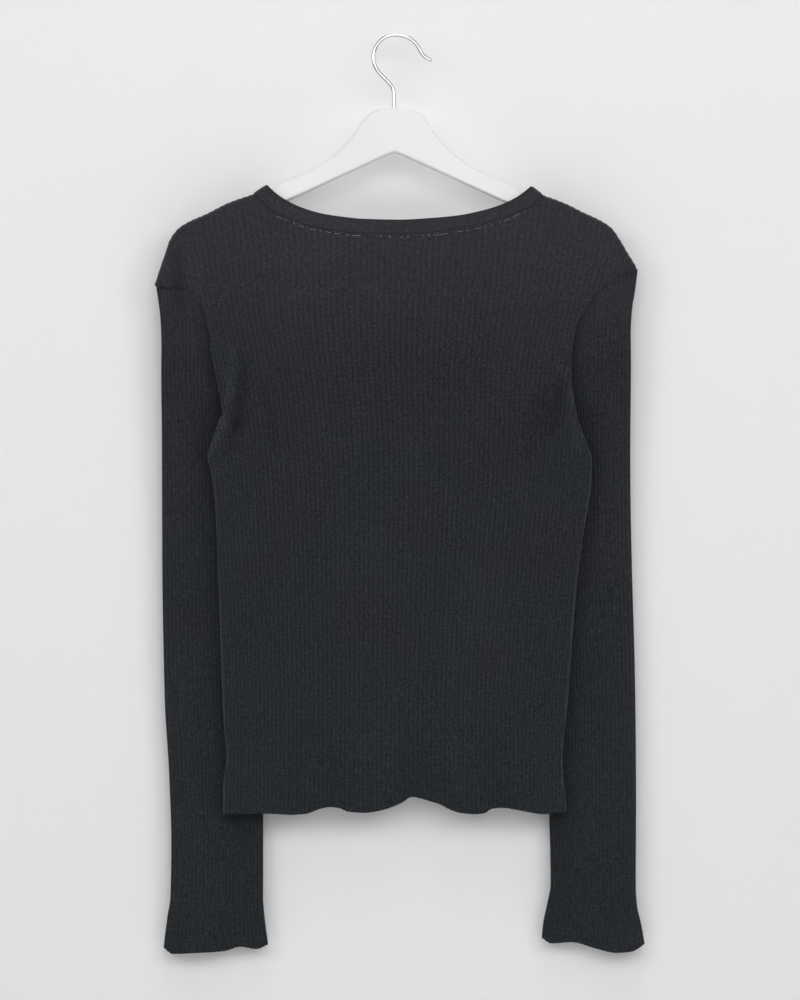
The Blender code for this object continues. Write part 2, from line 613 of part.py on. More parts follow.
def tube_normals(surface, u, v):
    """Unit normals of a surface that closes on itself in u."""
    step = 2e-3
    along_u = surface((u + step) % 1.0, v) - surface((u - step) % 1.0, v)
    v0, v1 = np.clip(v - 1e-4, 1e-6, 1), np.clip(v + 1e-4, 1e-6, 1)
    along_v = surface(u, v1) - surface(u, v0)
    normal = np.cross(along_u, along_v)
    return normal / np.linalg.norm(normal, axis=-1, keepdims=True)


def make_sleeves(material, collection):
    """Two sleeves that hang a little behind the body's sides."""
    left = SleeveCut(CAP_LEFT, WIDTH_LEFT, DEPTH_LEFT, CUFF_LEFT, (0.2, 0.45))
    right = SleeveCut(CAP_RIGHT, WIDTH_RIGHT, DEPTH_RIGHT, CUFF_RIGHT, (0.12, 0.45))
    add_object("sleeve_left", sleeve_mesh("sleeve_left", left, -1), material, collection)
    add_object("sleeve_right", sleeve_mesh("sleeve_right", right, 1), material, collection)


# ---------------------------------------------------------------- neckband and front bands

def resample(points, count):
    """Evenly spaced points along a run of 3-D points."""
    steps = np.linalg.norm(np.diff(points, axis=0), axis=1)
    length = np.concatenate([[0.0], np.cumsum(steps)])
    at = np.linspace(0.0, length[-1], count)
    return np.stack([np.interp(at, length, points[:, k]) for k in range(3)], axis=-1)


def neck_runs():
    """Seam and free edge of the neckband, each as left front, back and right front runs."""
    shoulder_left, shoulder_right = SHOULDER_LEFT[-1], SHOULDER_RIGHT[0]
    seam_back = [shoulder_left] + BACK_NECK + [shoulder_right]
    seam, edge = [], []
    for side in (-1, 1):
        corner = shoulder_left if side < 0 else shoulder_right
        peak = NECK_EDGE[0] if side < 0 else NECK_EDGE[-1]
        ratio = np.linspace(1.0, (PLACKET_HALF + SEAM) / abs(corner.x), 60)
        x = corner.x * ratio
        z = front_top_level(x)
        y = SEAM / 2 + body_half_gap(z) * round_over(np.hypot(x - corner.x, z - corner.z), BAND_ROUND)
        seam.append(np.stack([x, y, z], axis=-1))
        ratio = np.linspace(1.0, (PLACKET_HALF + SEAM) / abs(peak.x), 60)
        x = peak.x * ratio
        z = NECK_EDGE_LEVEL + (peak.z - NECK_EDGE_LEVEL) * ratio ** SCOOP_POWER
        y = SEAM / 2 + body_half_gap(z) * round_over(np.hypot(x - peak.x, z - peak.z), BAND_ROUND)
        edge.append(np.stack([x, y, z], axis=-1))
    for points, out in ((seam_back, seam), (NECK_EDGE, edge)):
        x = np.linspace(points[0].x, points[-1].x, 241)
        z = np.interp(x, column(points, "x"), column(points, "z"))
        near = np.minimum(np.hypot(x - x[0], z - z[0]), np.hypot(x - x[-1], z - z[-1]))
        y = -SEAM / 2 - body_half_gap(z) * round_over(near, BAND_ROUND)
        out.insert(1, np.stack([x, y, z], axis=-1))
    return seam, edge


def make_neckband(material, collection):
    """Double band round the neck, from one front band over the back to the other."""
    seam, edge = neck_runs()
    counts = (24, 54, 24)
    seam, edge = (
        np.concatenate([resample(runs[0][::-1], counts[0]), resample(runs[1], counts[1])[1:-1],
                        resample(runs[2], counts[2])])
        for runs in (seam, edge))
    along = np.gradient(seam, axis=0)
    upwards = edge - seam
    along /= np.linalg.norm(along, axis=1, keepdims=True)
    upwards -= along * np.sum(upwards * along, axis=1, keepdims=True)
    start = seam + upwards / np.linalg.norm(upwards, axis=1, keepdims=True) * NECK_SEAM
    grid = np.stack([start + (edge - start) * t for t in np.linspace(0.0, 1.0, 3)])
    normal = np.cross(np.gradient(grid, axis=1), np.broadcast_to(edge - seam, grid.shape))
    normal /= np.linalg.norm(normal, axis=-1, keepdims=True)
    at = np.linspace(0.0, 1.0, grid.shape[1])
    kept = sorted(set(range(0, len(at), 2)) | {22, 23, 24, 75, 76, 77, len(at) - 1})
    outer, inner = grid + normal * BAND_PROUD, grid - normal * (BAND_CLOTH - BAND_PROUD)
    mesh = wall_mesh("neckband", outer, inner[:, kept], at, at[kept])
    add_object("neckband", mesh, material, collection)


def placket_surface(lift):
    """Outer face of a front band that lies `lift` above the fronts' face."""
    def surface(u, v):
        x = PLACKET_HALF * (2.0 * u - 1.0)
        hem = hem_level(x, (x - BACK_EDGE_LEFT[-1].x) / (BACK_EDGE_RIGHT[-1].x - BACK_EDGE_LEFT[-1].x))
        z = NECK_EDGE_LEVEL + (hem - NECK_EDGE_LEVEL) * v
        return np.stack([x, placket_face(x, z) + lift, z], axis=-1)

    return surface


def placket_face(x, z):
    """Outer face of the fronts at the middle of the body."""
    return SEAM / 2 + body_half_gap(z) + FRONT_TROUGH * trough_depth(x, z)


def make_front_bands(cloth, button_material, collection):
    """Button band, buttonhole band over it, and the buttons, done up."""
    rows = np.linspace(0.0, 1.0, 10)
    columns = np.linspace(0.0, 1.0, 5)
    u, v = np.meshgrid(columns, rows)
    for name, lift in (("button_band", 0.0), ("buttonhole_band", CLOTH + LAP)):
        surface = placket_surface(lift)
        outer = surface(u, v)
        inner = outer - surface_normals(surface, u, v) * CLOTH
        mesh = wall_mesh(name, outer, inner, columns, columns)
        add_object(name, mesh, cloth, collection)
    button = button_mesh()
    for number, level in enumerate(BUTTON_LEVELS, start=1):
        obj = add_object(f"button_{number}", button, button_material, collection)
        beside = placket_face(np.array([-6.0, 0.0, 6.0] * 3), level + np.repeat([-6.0, 0.0, 6.0], 3))
        face = float(np.max(beside)) + CLOTH + LAP
        obj.location = (0.0, (face + LAP) * MM, level * MM)
        obj.rotation_euler = (-math.pi / 2, 0.0, 0.0)


def button_mesh():
    """Turned button: a raised rim round a shallow dish, its back flat on z = 0."""
    radius, thick = BUTTON_RADIUS, BUTTON_THICKNESS
    profile = [
        (0.0, 0.0), (radius - 0.8, 0.0), (radius, 0.9), (radius - 0.4, thick),
        (radius - 1.3, thick - 0.1), (radius - 2.0, thick - 0.7), (0.0, thick - 0.8),
    ]
    mesh = bpy.data.meshes.new("button")
    bm = bmesh.new()
    verts = [bm.verts.new((r * MM, 0.0, z * MM)) for r, z in profile]
    edges = [bm.edges.new(pair) for pair in zip(verts[:-1], verts[1:])]
    bmesh.ops.spin(bm, geom=verts + edges, cent=(0, 0, 0), axis=(0, 0, 1), angle=2 * math.pi,
                   steps=12, use_merge=True)
    bmesh.ops.remove_doubles(bm, verts=bm.verts, dist=0.00002)
    bmesh.ops.dissolve_degenerate(bm, dist=0.00001, edges=bm.edges)
    bmesh.ops.recalc_face_normals(bm, faces=bm.faces)
    bm.to_mesh(mesh)
    bm.free()
    return mesh


# ---------------------------------------------------------------- hanger and hook

def curve_mesh(name, curve):
    """Turn a curve into a welded mesh and remove the curve."""
    holder = bpy.data.objects.new(name, curve)
    bpy.context.scene.collection.objects.link(holder)
    evaluated = holder.evaluated_get(bpy.context.evaluated_depsgraph_get())
    mesh = bpy.data.meshes.new_from_object(evaluated)
    bpy.data.objects.remove(holder, do_unlink=True)
    bm = bmesh.new()
    bm.from_mesh(mesh)
    bmesh.ops.remove_doubles(bm, verts=bm.verts, dist=0.00002)
    bm.to_mesh(mesh)
    bm.free()
    return mesh


def make_hanger(material, collection, cutters):
    """Flat wooden hanger with eased edges and a hole for the hook."""
    curve = bpy.data.curves.new("hanger_outline", "CURVE")
    curve.dimensions = "2D"
    curve.fill_mode = "BOTH"
    curve.extrude = HANGER_THICKNESS / 2 * MM
    right = [(HANGER_X + point.x, point.z) for point in HANGER_OUTLINE]
    left = [(HANGER_X - point.x, point.z) for point in HANGER_OUTLINE[-2:0:-1]]
    spline = curve.splines.new("POLY")
    spline.points.add(len(right + left) - 1)
    for point, (x, z) in zip(spline.points, right + left):
        point.co = (x * MM, z * MM, 0.0, 1.0)
    spline.use_cyclic_u = True
    hanger = add_object("hanger", curve_mesh("hanger", curve), material, collection)
    hanger.rotation_euler = (math.pi / 2, 0.0, 0.0)
    bevel = hanger.modifiers.new("eased_edges", "BEVEL")
    bevel.width = HANGER_EDGE * MM
    bevel.segments = 2
    bevel.limit_method = "ANGLE"
    bevel.angle_limit = math.radians(60)
    bpy.ops.mesh.primitive_cylinder_add(vertices=20, radius=HOLE_RADIUS * MM, depth=2 * HOLE_DEPTH * MM,
                                        location=(HOOK_ROUTE[0].x * MM, 0.0, HANGER_TOP * MM))
    cutter = bpy.context.object
    cutter.name = "hook_hole_cutter"
    cutter.hide_render = True
    cutter.display_type = "WIRE"
    for owner in list(cutter.users_collection):
        owner.objects.unlink(cutter)
    cutters.objects.link(cutter)
    hole = hanger.modifiers.new("hook_hole", "BOOLEAN")
    hole.operation = "DIFFERENCE"
    hole.object = cutter


def make_hook(material, collection):
    """Chrome wire hook whose shank stands in the hanger's hole."""
    route = np.array([(point.x, 0.0, point.z) for point in HOOK_ROUTE])
    curve = bpy.data.curves.new("hook_wire", "CURVE")
    curve.dimensions = "3D"
    curve.bevel_depth = WIRE_RADIUS * MM
    curve.bevel_resolution = 2
    curve.use_fill_caps = True
    points = smooth_route(route, 2)
    spline = curve.splines.new("POLY")
    spline.points.add(len(points) - 1)
    for point, place in zip(spline.points, points):
        point.co = (*(place * MM), 1.0)
    add_object("hook", curve_mesh("hook", curve), material, collection)


def smooth_route(points, steps):
    """Catmull-Rom curve through the points, with `steps` pieces between each pair."""
    padded = np.concatenate([2 * points[:1] - points[1:2], points, 2 * points[-1:] - points[-2:-1]])
    out = []
    for p0, p1, p2, p3 in zip(padded[:-3], padded[1:-2], padded[2:-1], padded[3:]):
        for t in np.arange(steps) / steps:
            out.append(0.5 * (2 * p1 + (p2 - p0) * t + (2 * p0 - 5 * p1 + 4 * p2 - p3) * t ** 2
                              + (3 * p1 - p0 - 3 * p2 + p3) * t ** 3))
    return np.array(out + [points[-1]])


def main():
    """Build every piece."""
    clear_scene()
    collection = bpy.data.collections.new("cardigan")
    cutters = bpy.data.collections.new("cutters")
    for group in (collection, cutters):
        bpy.context.scene.collection.children.link(group)
    cloth = make_material("charcoal_rib_knit", CHARCOAL, 0.9)
    make_body(cloth, collection)
    make_sleeves(cloth, collection)
    make_neckband(cloth, collection)
    make_front_bands(cloth, make_material("black_button", BUTTON_BLACK, 0.4), collection)
    make_hanger(make_material("white_paint", WHITE_PAINT, 0.45), collection, cutters)
    make_hook(make_material("chrome_wire", CHROME, 0.2, 1.0), collection)


main()
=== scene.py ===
"""Looks of the rib-knit cardigan on its flat wooden hanger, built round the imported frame.

The frame's origin is the inside of the hook's top, +Z is up and the cardigan's back faces -Y.
Lengths here are millimetres and become metres when a mesh is made.
"""

from __future__ import annotations

import logging
import math
from dataclasses import dataclass, field
from enum import Enum
from functools import cached_property
from typing import NamedTuple, Sequence, TypeVar

import bmesh
import bpy
import numpy as np
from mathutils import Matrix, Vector

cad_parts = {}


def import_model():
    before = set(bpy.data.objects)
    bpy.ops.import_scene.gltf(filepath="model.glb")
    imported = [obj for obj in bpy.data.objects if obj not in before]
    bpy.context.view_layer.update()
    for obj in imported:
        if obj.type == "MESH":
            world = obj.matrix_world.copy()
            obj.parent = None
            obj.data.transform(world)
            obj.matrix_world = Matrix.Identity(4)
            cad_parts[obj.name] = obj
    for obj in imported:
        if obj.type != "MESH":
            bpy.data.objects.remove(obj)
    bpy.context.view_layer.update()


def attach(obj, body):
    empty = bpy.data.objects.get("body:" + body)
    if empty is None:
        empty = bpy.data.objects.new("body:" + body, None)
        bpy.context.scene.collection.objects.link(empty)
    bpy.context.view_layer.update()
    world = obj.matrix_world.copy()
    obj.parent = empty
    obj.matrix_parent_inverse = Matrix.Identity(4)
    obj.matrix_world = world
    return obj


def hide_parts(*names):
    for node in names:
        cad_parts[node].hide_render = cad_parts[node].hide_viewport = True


LOG = logging.getLogger("cardigan")
MM = 0.001
SHARP_ANGLE = math.radians(58.0)
FIRST_BUTTON = -246.0
BUTTON_STEP = 60.0
BUTTON_COUNT = 8
BODY = "root"
Array = np.ndarray
Row = TypeVar("Row")
Colour = tuple[float, float, float, float]
Profile = Sequence[tuple[float, float]]     # places in rising order, with a value at each


# --- tables of the garment's outline

class Point(NamedTuple):
    """A place on the flat garment, seen from behind."""

    x: float
    z: float


class Edge(NamedTuple):
    """A place on a panel's edge, and how far its face stands from the middle plane there."""

    z: float
    x: float
    depth: float = 0.0


class Line(NamedTuple):
    """A place on a line that runs down the garment."""

    z: float
    x: float


class Width(NamedTuple):
    """A sleeve's outer and inner fold at one height."""

    z: float
    outer: float
    inner: float


class Depth(NamedTuple):
    """Faces of a sleeve's two layers: the back layer at its outer and inner folds, the front layer."""

    z: float
    outer_back: float
    inner_back: float
    front: float


class HemLevel(NamedTuple):
    """Height of a cuff's edge across the sleeve."""

    across: float
    z: float


class Fold(NamedTuple):
    """A soft ridge (+) or trough (-) between two points."""

    x0: float
    z0: float
    x1: float
    z1: float
    width: float
    height: float


class Trough(NamedTuple):
    """A trough that runs up from the hem to its start."""

    x: float
    half_width: float
    depth: float
    start: float


class Side(Enum):
    """Which side of the garment a piece is on, seen from behind."""

    LEFT = -1
    RIGHT = 1


def table(kind: type[Row], *values: tuple[object, ...]) -> tuple[Row, ...]:
    """Rows of a table, each of the given kind."""
    return tuple(kind(*value) for value in values)


SHOULDER_LEFT = table(
    Point, (-217.4, -223.2), (-211.2, -204.8), (-208, -195.6), (-203.6, -183), (-196, -173),
    (-186.6, -166.9), (-171.8, -160.4), (-150, -149.5), (-128.7, -142.2),
)
SHOULDER_RIGHT = table(
    Point, (132, -142.8), (153, -150.6), (167.4, -157.9), (184.5, -166), (194.4, -172.8), (202, -183.6),
    (209.7, -196.7), (215, -205), (217.8, -210.6),
)
BACK_NECK = table(
    Point, (-121.5, -149.4), (-109.8, -159.3), (-96.3, -165.6), (-81, -171.4), (-58.5, -175.9),
    (-36, -178.5), (3.6, -179.6), (33.3, -177.8), (55.8, -174.3), (78.3, -170.6), (96.3, -165.4),
    (110.7, -159.3), (121.5, -153.9),
)
NECK_EDGE = table(
    Point, (-116.1, -134), (-108, -141.6), (-100.8, -146.7), (-87.3, -153.5), (-67.5, -159.7),
    (-51.3, -162.4), (-28.8, -164.7), (3.6, -165.4), (33.3, -163.8), (55.8, -161.6), (78.3, -157),
    (93.2, -152.4), (108, -145.4), (115, -140.6), (121.5, -135.2),
)
BACK_EDGE_LEFT = table(
    Edge, (-223.2, -217.4, 5.4), (-225.6, -209.7, 5.4), (-228.6, -191.6, 5.4), (-235.7, -180.8, 5.3),
    (-248.5, -172.8, 5.2), (-262, -169.6, 4.4), (-285, -166.5, 4.2), (-308, -162, 4.2),
    (-330, -157.5, 4.2), (-346, -155.7, 4), (-360, -160, 3), (-379, -170), (-392, -166.5), (-437, -162),
    (-525, -159), (-625, -154.8), (-648, -152.5), (-678, -155.8), (-700, -155.7),
)
BACK_EDGE_RIGHT = table(
    Edge, (-210.6, 217.8, 5.4), (-214.7, 203.4, 5.4), (-222.3, 191.7, 5.4), (-232.2, 180.9, 5.2),
    (-245.7, 171, 5.2), (-262.4, 162, 4.8), (-284, 158.8, 4.2), (-300, 157.5, 4.2), (-322, 159.3, 4.2),
    (-344, 163.3, 4), (-363, 170, 3), (-383, 176.4), (-409, 175.5), (-426, 172.8), (-454, 168),
    (-495, 162.9), (-598, 154.8), (-652, 150.2), (-697.5, 153.5),
)
SHARED_EDGE = 5                         # rows of an armhole that the back and the front share
FRONT_ARMHOLE_LEFT = BACK_EDGE_LEFT[:SHARED_EDGE] + table(
    Edge, (-280.4, -161, 6), (-318.6, -151, 6.2), (-354, -147, 5.6), (-395, -165),
)
FRONT_ARMHOLE_RIGHT = BACK_EDGE_RIGHT[:SHARED_EDGE] + table(
    Edge, (-269, 161, 6), (-308, 149, 6.2), (-354, 147.6, 5.6), (-400, 174.5), (-409, 174.6),
)
WIDTH_LEFT = table(
    Width, (-223.2, -216.5, -138), (-238, -214.2, -138), (-255, -211.8, -138), (-284, -210.2, -138),
    (-368, -209.7, -138), (-400, -209.7, -129), (-463, -209.7, -121), (-598, -207.5, -119),
    (-667, -203.5, -120.6), (-729, -201.6, -120.6), (-778, -202.5, -120.6), (-795, -205.2, -119.3),
    (-824, -208.8, -115.5),
)
WIDTH_RIGHT = table(
    Width, (-210.6, 217.8, 140), (-227.7, 215.6, 140), (-244.4, 212.4, 140), (-270, 210.3, 140),
    (-371, 209.9, 140), (-414, 210.2, 133), (-461, 211.2, 131), (-598, 214.8, 134),
    (-690, 215.5, 138.6), (-765, 215.2, 140.4), (-785, 216.4, 137), (-800, 219.8, 133.8),
    (-822, 223.8, 131.5),
)
DEPTH_LEFT = table(
    Depth, (-223.2, -5.4, -5.4, 5.4), (-229, -5.2, -5.2, 5.6), (-248.5, -4.8, -3, 6.6),
    (-262, -4.6, -1.8, 7.2), (-291, -4.2, -0.5, 8), (-320, -3, 2, 9), (-336, -2, 7, 12.4),
    (-354, -1, 12.2, 16.6), (-420, 2, 11.4, 18.8), (-500, 5, 10.4, 21), (-824, 7, 10.4, 22),
)
DEPTH_RIGHT = table(
    Depth, (-210.6, -5.4, -5.4, 5.4), (-216.4, -5.2, -5.2, 5.6), (-236.6, -4.8, -4, 6.6),
    (-262.4, -4.6, -2.2, 7.4), (-284, -4.2, -1, 8), (-300, -3.8, 0.2, 8.8), (-335, -2.4, 7, 12.6),
    (-354, -1, 12.2, 17), (-420, 2, 11.4, 20), (-500, 4, 10.4, 24), (-822, 5, 10.4, 25),
)
CUFF_LEFT = table(
    HemLevel, (0, -820), (0.1, -825.5), (0.3, -824.3), (0.6, -823), (0.74, -819.3), (0.88, -821),
    (1, -817),
)
CUFF_RIGHT = table(
    HemLevel, (0, -817), (0.15, -823.6), (0.3, -824.4), (0.5, -820.8), (0.72, -815.4), (0.9, -816.4),
    (1, -811.5),
)
BACK_FOLDS = table(
    Fold, (-146.2, -284, -149.6, -322, 4.6, 2.2), (-149.6, -322, -155.8, -350, 3.6, 3),
    (-155.8, -350, -168, -378, 3.6, 2.8), (-136.5, -296, -143, -350, 6.5, -2.6),
    (-197, -197, -195.5, -240, 5.5, -3.2), (-209.5, -206, -209, -246, 4.5, 2),
    (-185, -206, -170, -238, 5, 1.2), (-143, -350, -152, -376, 6.5, -1.8),
    (150, -316, 139, -356, 9, -2.4), (152, -300, 164, -366, 6, 2.2), (128, -330, 118, -372, 10, -1.6),
    (-118, -330, -110, -372, 10, -1.2),
)
HEM_TROUGHS = table(
    Trough, (-60, 13, 5, -628), (15, 17, 8, -560), (90, 15, 5, -620), (-27, 18, -3, -610),
    (60, 17, -3, -600),
)
HEM_EDGE = table(
    Point, (-155.7, -700), (-117, -699.6), (-92, -700.8), (-79.2, -699.9), (-66, -695.6),
    (-57.6, -694.3), (-50, -694.9), (-41.4, -697.9), (-27, -698.7), (-14.4, -697), (-3.6, -693.9),
    (7.2, -689.1), (12.8, -685.5), (18, -685.9), (28.8, -688.6), (39.6, -691.9), (45, -694.9),
    (55.8, -698.7), (70, -700.1), (77.4, -699.6), (83.5, -696), (93.6, -694.9), (104.4, -696),
    (120.6, -698.9), (131.4, -700.2), (153.5, -697.5),
)
RIB_LINE_LEFT = table(
    Line, (-143, -233), (-184, -223), (-223, -211), (-262, -198), (-300, -187), (-350, -177),
    (-400, -170.5), (-450, -166), (-525, -161.5), (-625, -158), (-700, -158.5),
)
RIB_LINE_RIGHT = table(
    Line, (-143, 235), (-184, 225), (-215, 214), (-262, 196), (-300, 186), (-350, 180), (-400, 175.5),
    (-450, 169.5), (-525, 162.5), (-625, 156), (-700, 156.5),
)
HANGER_OUTLINE = table(
    Point, (0, -64), (12, -64.8), (18, -66.8), (24, -70.6), (30, -77.2), (37, -88), (46, -98.2),
    (56, -107.8), (73, -118.6), (92, -127.4), (104, -132.8), (109, -136.2), (115, -141.4),
    (121, -146.6), (130, -151), (150, -159.4), (168, -168), (178, -173.6), (183.5, -178), (185, -182),
    (183, -185.6), (179, -185.8), (173, -183.1), (6, -106.4), (0, -104.5),
)
HOOK_ROUTE = table(
    Point, (-2, -75), (-2, -60), (-2.1, -50), (-3.8, -44.4), (-9, -38.6), (-15.2, -32.2),
    (-18.6, -26.8), (-20.4, -20), (-19.6, -12.6), (-15.8, -5.2), (-9.2, -0.1), (0, 1.8), (8.6, 0.3),
    (15.4, -3.6), (20.2, -9.2), (22.8, -14.2), (26.2, -18), (31, -20.6),
)

# Shares and painted shade that change down the garment, against millimetres below the frame's origin.
RIB_FAN: Profile = ((143, 0.05), (190, 0.08), (260, 0.26), (700, 0.27))
LINE_SHARE: Profile = ((140, 1.0), (225, 0.96), (262, 0.6), (308, 0.25), (350, 0.08), (385, 0.0))
# GROOVE_SHADE: painted shade in the groove beside the body's fold, down a sleeve.
GROOVE_SHADE: Profile = ((240, 0.0), (290, 0.6), (320, 0.4), (352, 0.25), (380, 0.2), (420, 0.15),
                         (700, 0.1))
# How much closer the columns lie at the sides, against the share of the way down a panel.
COLUMN_SQUEEZE: Profile = ((0.0, 0.0), (0.08, 0.30), (0.5, 0.15), (1.0, 0.1))


@dataclass(frozen=True)
class Garment:
    """Sizes that the garment's pieces share."""

    cloth: float = 1.6
    band_cloth: float = 2.6
    gap: float = 0.4
    rib_height: float = 0.5
    body_ribs: int = 84
    front_ribs: int = 40
    sleeve_ribs: int = 52
    half_gap_hanger: float = 8.4
    half_gap: float = 7.0
    hanger_level: float = -195.0
    gap_change: float = 60.0
    crest_round: float = 6.0
    side_round: float = 6.0
    edge_power: float = 2.6
    hem_level: float = -700.0
    front_neck_level: float = -246.0
    scoop_power: float = 2.6
    neck_edge_level: float = -232.0
    neck_seam: float = 0.5
    band_round: float = 5.0
    band_proud: float = 1.3
    placket_half: float = 11.0
    front_trough: float = 0.25
    tip_share: float = 0.2
    sleeve_width: float = 88.0
    sleeve_depth: float = 12.0
    section_power: float = 2.6
    tip_lap: float = 0.5
    hem_rows: tuple[float, float] = (8.5, 10.7)
    fold_start: float = 1.0
    fold_reach: float = 4.0
    # fold_contrast paints shade in the folds' troughs and highlight on their ridges; trough_contrast paints
    # shade in the hem's troughs and light on its ridges.
    fold_contrast: float = 0.22
    trough_contrast: float = 0.02


SIZES = Garment()


# --- curves

def column(rows: Sequence[NamedTuple], name: str) -> Array:
    """One named column of a table, as an array."""
    return np.array([getattr(row, name) for row in rows], float)


def smooth_interp(at: Array, knots: Array, values: Array) -> Array:
    """Read a table with a smooth curve that never overshoots its points.

    Args:
        at: Places to read.
        knots: Rising places of the table's points.
        values: Values at those places.

    Returns:
        Values of a monotone cubic through the points.
    """
    at = np.clip(np.asarray(at, float), knots[0], knots[-1])
    step, rise = np.diff(knots), np.diff(values)
    slope = rise / step
    tangent = np.zeros(len(knots))
    tangent[0], tangent[-1] = slope[0], slope[-1]
    before, after = slope[:-1], slope[1:]
    same = before * after > 0
    w1, w2 = 2 * step[1:] + step[:-1], step[1:] + 2 * step[:-1]
    safe_before, safe_after = np.where(same, before, 1.0), np.where(same, after, 1.0)
    tangent[1:-1] = np.where(same, (w1 + w2) / (w1 / safe_before + w2 / safe_after), 0.0)
    i = np.clip(np.searchsorted(knots, at, side="right") - 1, 0, len(knots) - 2)
    t = (at - knots[i]) / step[i]
    return (values[i] * (1 + 2 * t) * (1 - t) ** 2 + tangent[i] * step[i] * t * (1 - t) ** 2
            + values[i + 1] * t * t * (3 - 2 * t) + tangent[i + 1] * step[i] * t * t * (t - 1))


def down(z: Array, rows: Sequence[NamedTuple], name: str) -> Array:
    """Read a table whose rows run downwards, at height z."""
    return smooth_interp(-np.asarray(z, float), -column(rows, "z"), column(rows, name))


def read(at: Array, profile: Profile) -> Array:
    """Read a profile smoothly."""
    places, values = np.array(profile, float).T
    return smooth_interp(at, places, values)


def across_x(x: Array, points: Sequence[Point]) -> Array:
    """Height of a line of points at each x."""
    return smooth_interp(x, column(points, "x"), column(points, "z"))


def ease(t: Array) -> Array:
    """Smooth step from 0 to 1."""
    t = np.clip(t, 0.0, 1.0)
    return t * t * (3.0 - 2.0 * t)


def round_over(distance: Array, reach: float) -> Array:
    """Quarter of a full ellipse: 0 at an edge, 1 from `reach` inwards."""
    t = np.clip(np.asarray(distance) / reach, 0.0, 1.0)
    power = SIZES.edge_power
    return np.clip(1.0 - (1.0 - t) ** power, 0.0, 1.0) ** (1.0 / power)


def distance_to(line: Array, x: Array, z: Array) -> Array:
    """Distance in the x-z plane from each (x, z) to a run of points."""
    best = np.full(np.shape(x), 1e9)
    for (ax, az), (bx, bz) in zip(line[:-1], line[1:]):
        run, rise = bx - ax, bz - az
        t = np.clip(((x - ax) * run + (z - az) * rise) / (run * run + rise * rise), 0.0, 1.0)
        best = np.minimum(best, np.hypot(x - ax - t * run, z - az - t * rise))
    return best


def fine_line(points: Sequence[Point], count: int = 60) -> Array:
    """The smooth line through a run of points, as closely spaced points."""
    x = np.linspace(points[0].x, points[-1].x, count)
    return np.stack([x, across_x(x, points)], axis=-1)


CRESTS = (fine_line(SHOULDER_LEFT), fine_line(SHOULDER_RIGHT))


def crest_distance(x: Array, z: Array) -> Array:
    """Distance to the nearer shoulder line."""
    return np.minimum(distance_to(CRESTS[0], x, z), distance_to(CRESTS[1], x, z))


def body_half_gap(z: Array) -> Array:
    """Middle plane to the cloth's outer face: thicker over the hanger."""
    fall = ease((SIZES.hanger_level - z) / SIZES.gap_change)
    return SIZES.half_gap_hanger + (SIZES.half_gap - SIZES.half_gap_hanger) * fall


def fold_height(folds: Sequence[Fold], x: Array, z: Array) -> Array:
    """Sum of soft ridges and troughs at (x, z)."""
    total = np.zeros(np.shape(x))
    for fold in folds:
        line = np.array([[fold.x0, fold.z0], [fold.x1, fold.z1]])
        total += fold.height * np.exp(-(distance_to(line, x, z) / fold.width) ** 2)
    return total


def fold_shade(x: Array, z: Array) -> Array:
    """Painted shade in the troughs of the folds and painted highlight on their ridges: how much darker or
    lighter the cloth is painted.
    """
    return -SIZES.fold_contrast * fold_height(BACK_FOLDS, x, z)


def trough_depth(x: Array, z: Array) -> Array:
    """Sum of the hem's troughs at (x, z): how far the cloth goes in."""
    total = np.zeros(np.broadcast(x, z).shape)
    for trough in HEM_TROUGHS:
        along = ease((trough.start - z) / (trough.start - SIZES.hem_level))
        total += trough.depth * along * np.exp(-((x - trough.x) / trough.half_width) ** 2)
    return total


def rib_number(x: Array, z: Array) -> Array:
    """Which rib passes through (x, z): ribs fan out from the hem up to the shoulders.

    Args:
        x: Places across the body.
        z: Heights.

    Returns:
        Count of ribs from the left side.
    """
    left, right = down(z, RIB_LINE_LEFT, "x"), down(z, RIB_LINE_RIGHT, "x")
    squeeze = read(-z, RIB_FAN)
    n = (x - (left + right) / 2) / ((right - left) / 2)
    m = n
    for _ in range(6):
        m = m - ((m - squeeze * m ** 3 / 3) / (1 - squeeze / 3) - n) * (1 - squeeze / 3) / (
            1 - squeeze * m * m)
    return SIZES.body_ribs * (m + 1.0) / 2.0


def unit(vectors: Array) -> Array:
    """The vectors at a length of 1."""
    return vectors / np.maximum(np.linalg.norm(vectors, axis=-1, keepdims=True), 1e-6)


def resample(points: Array, count: int) -> Array:
    """Evenly spaced points along a run of 3-D points."""
    steps = np.linalg.norm(np.diff(points, axis=0), axis=1)
    length = np.concatenate([[0.0], np.cumsum(steps)])
    at = np.linspace(0.0, length[-1], count)
    return np.stack([np.interp(at, length, points[:, k]) for k in range(3)], axis=-1)


def catmull(points: Array, steps: int) -> Array:
    """Smooth curve through the points, with `steps` pieces between each pair."""
    padded = np.concatenate([2 * points[:1] - points[1:2], points, 2 * points[-1:] - points[-2:-1]])
    out = []
    for p0, p1, p2, p3 in zip(padded[:-3], padded[1:-2], padded[2:-1], padded[3:]):
        for t in np.arange(steps) / steps:
            out.append(0.5 * (2 * p1 + (p2 - p0) * t + (2 * p0 - 5 * p1 + 4 * p2 - p3) * t ** 2
                              + (3 * p1 - p0 - 3 * p2 + p3) * t ** 3))
    return np.array(out + [points[-1]])


# --- meshes

def new_object(name: str, data: bpy.types.ID) -> bpy.types.Object:
    """Make an object in the scene."""
    obj = bpy.data.objects.new(name, data)
    bpy.context.scene.collection.objects.link(obj)
    return obj


def new_mesh(name: str, points: Array | Sequence[Sequence[float]], faces: Sequence[Sequence[int]],
             edges: Sequence[tuple[int, int]] = ()) -> bpy.types.Mesh:
    """Make a mesh from points in millimetres."""
    mesh = bpy.data.meshes.new(name)
    mesh.from_pydata((np.asarray(points) * MM).tolist(), edges, faces)
    return mesh


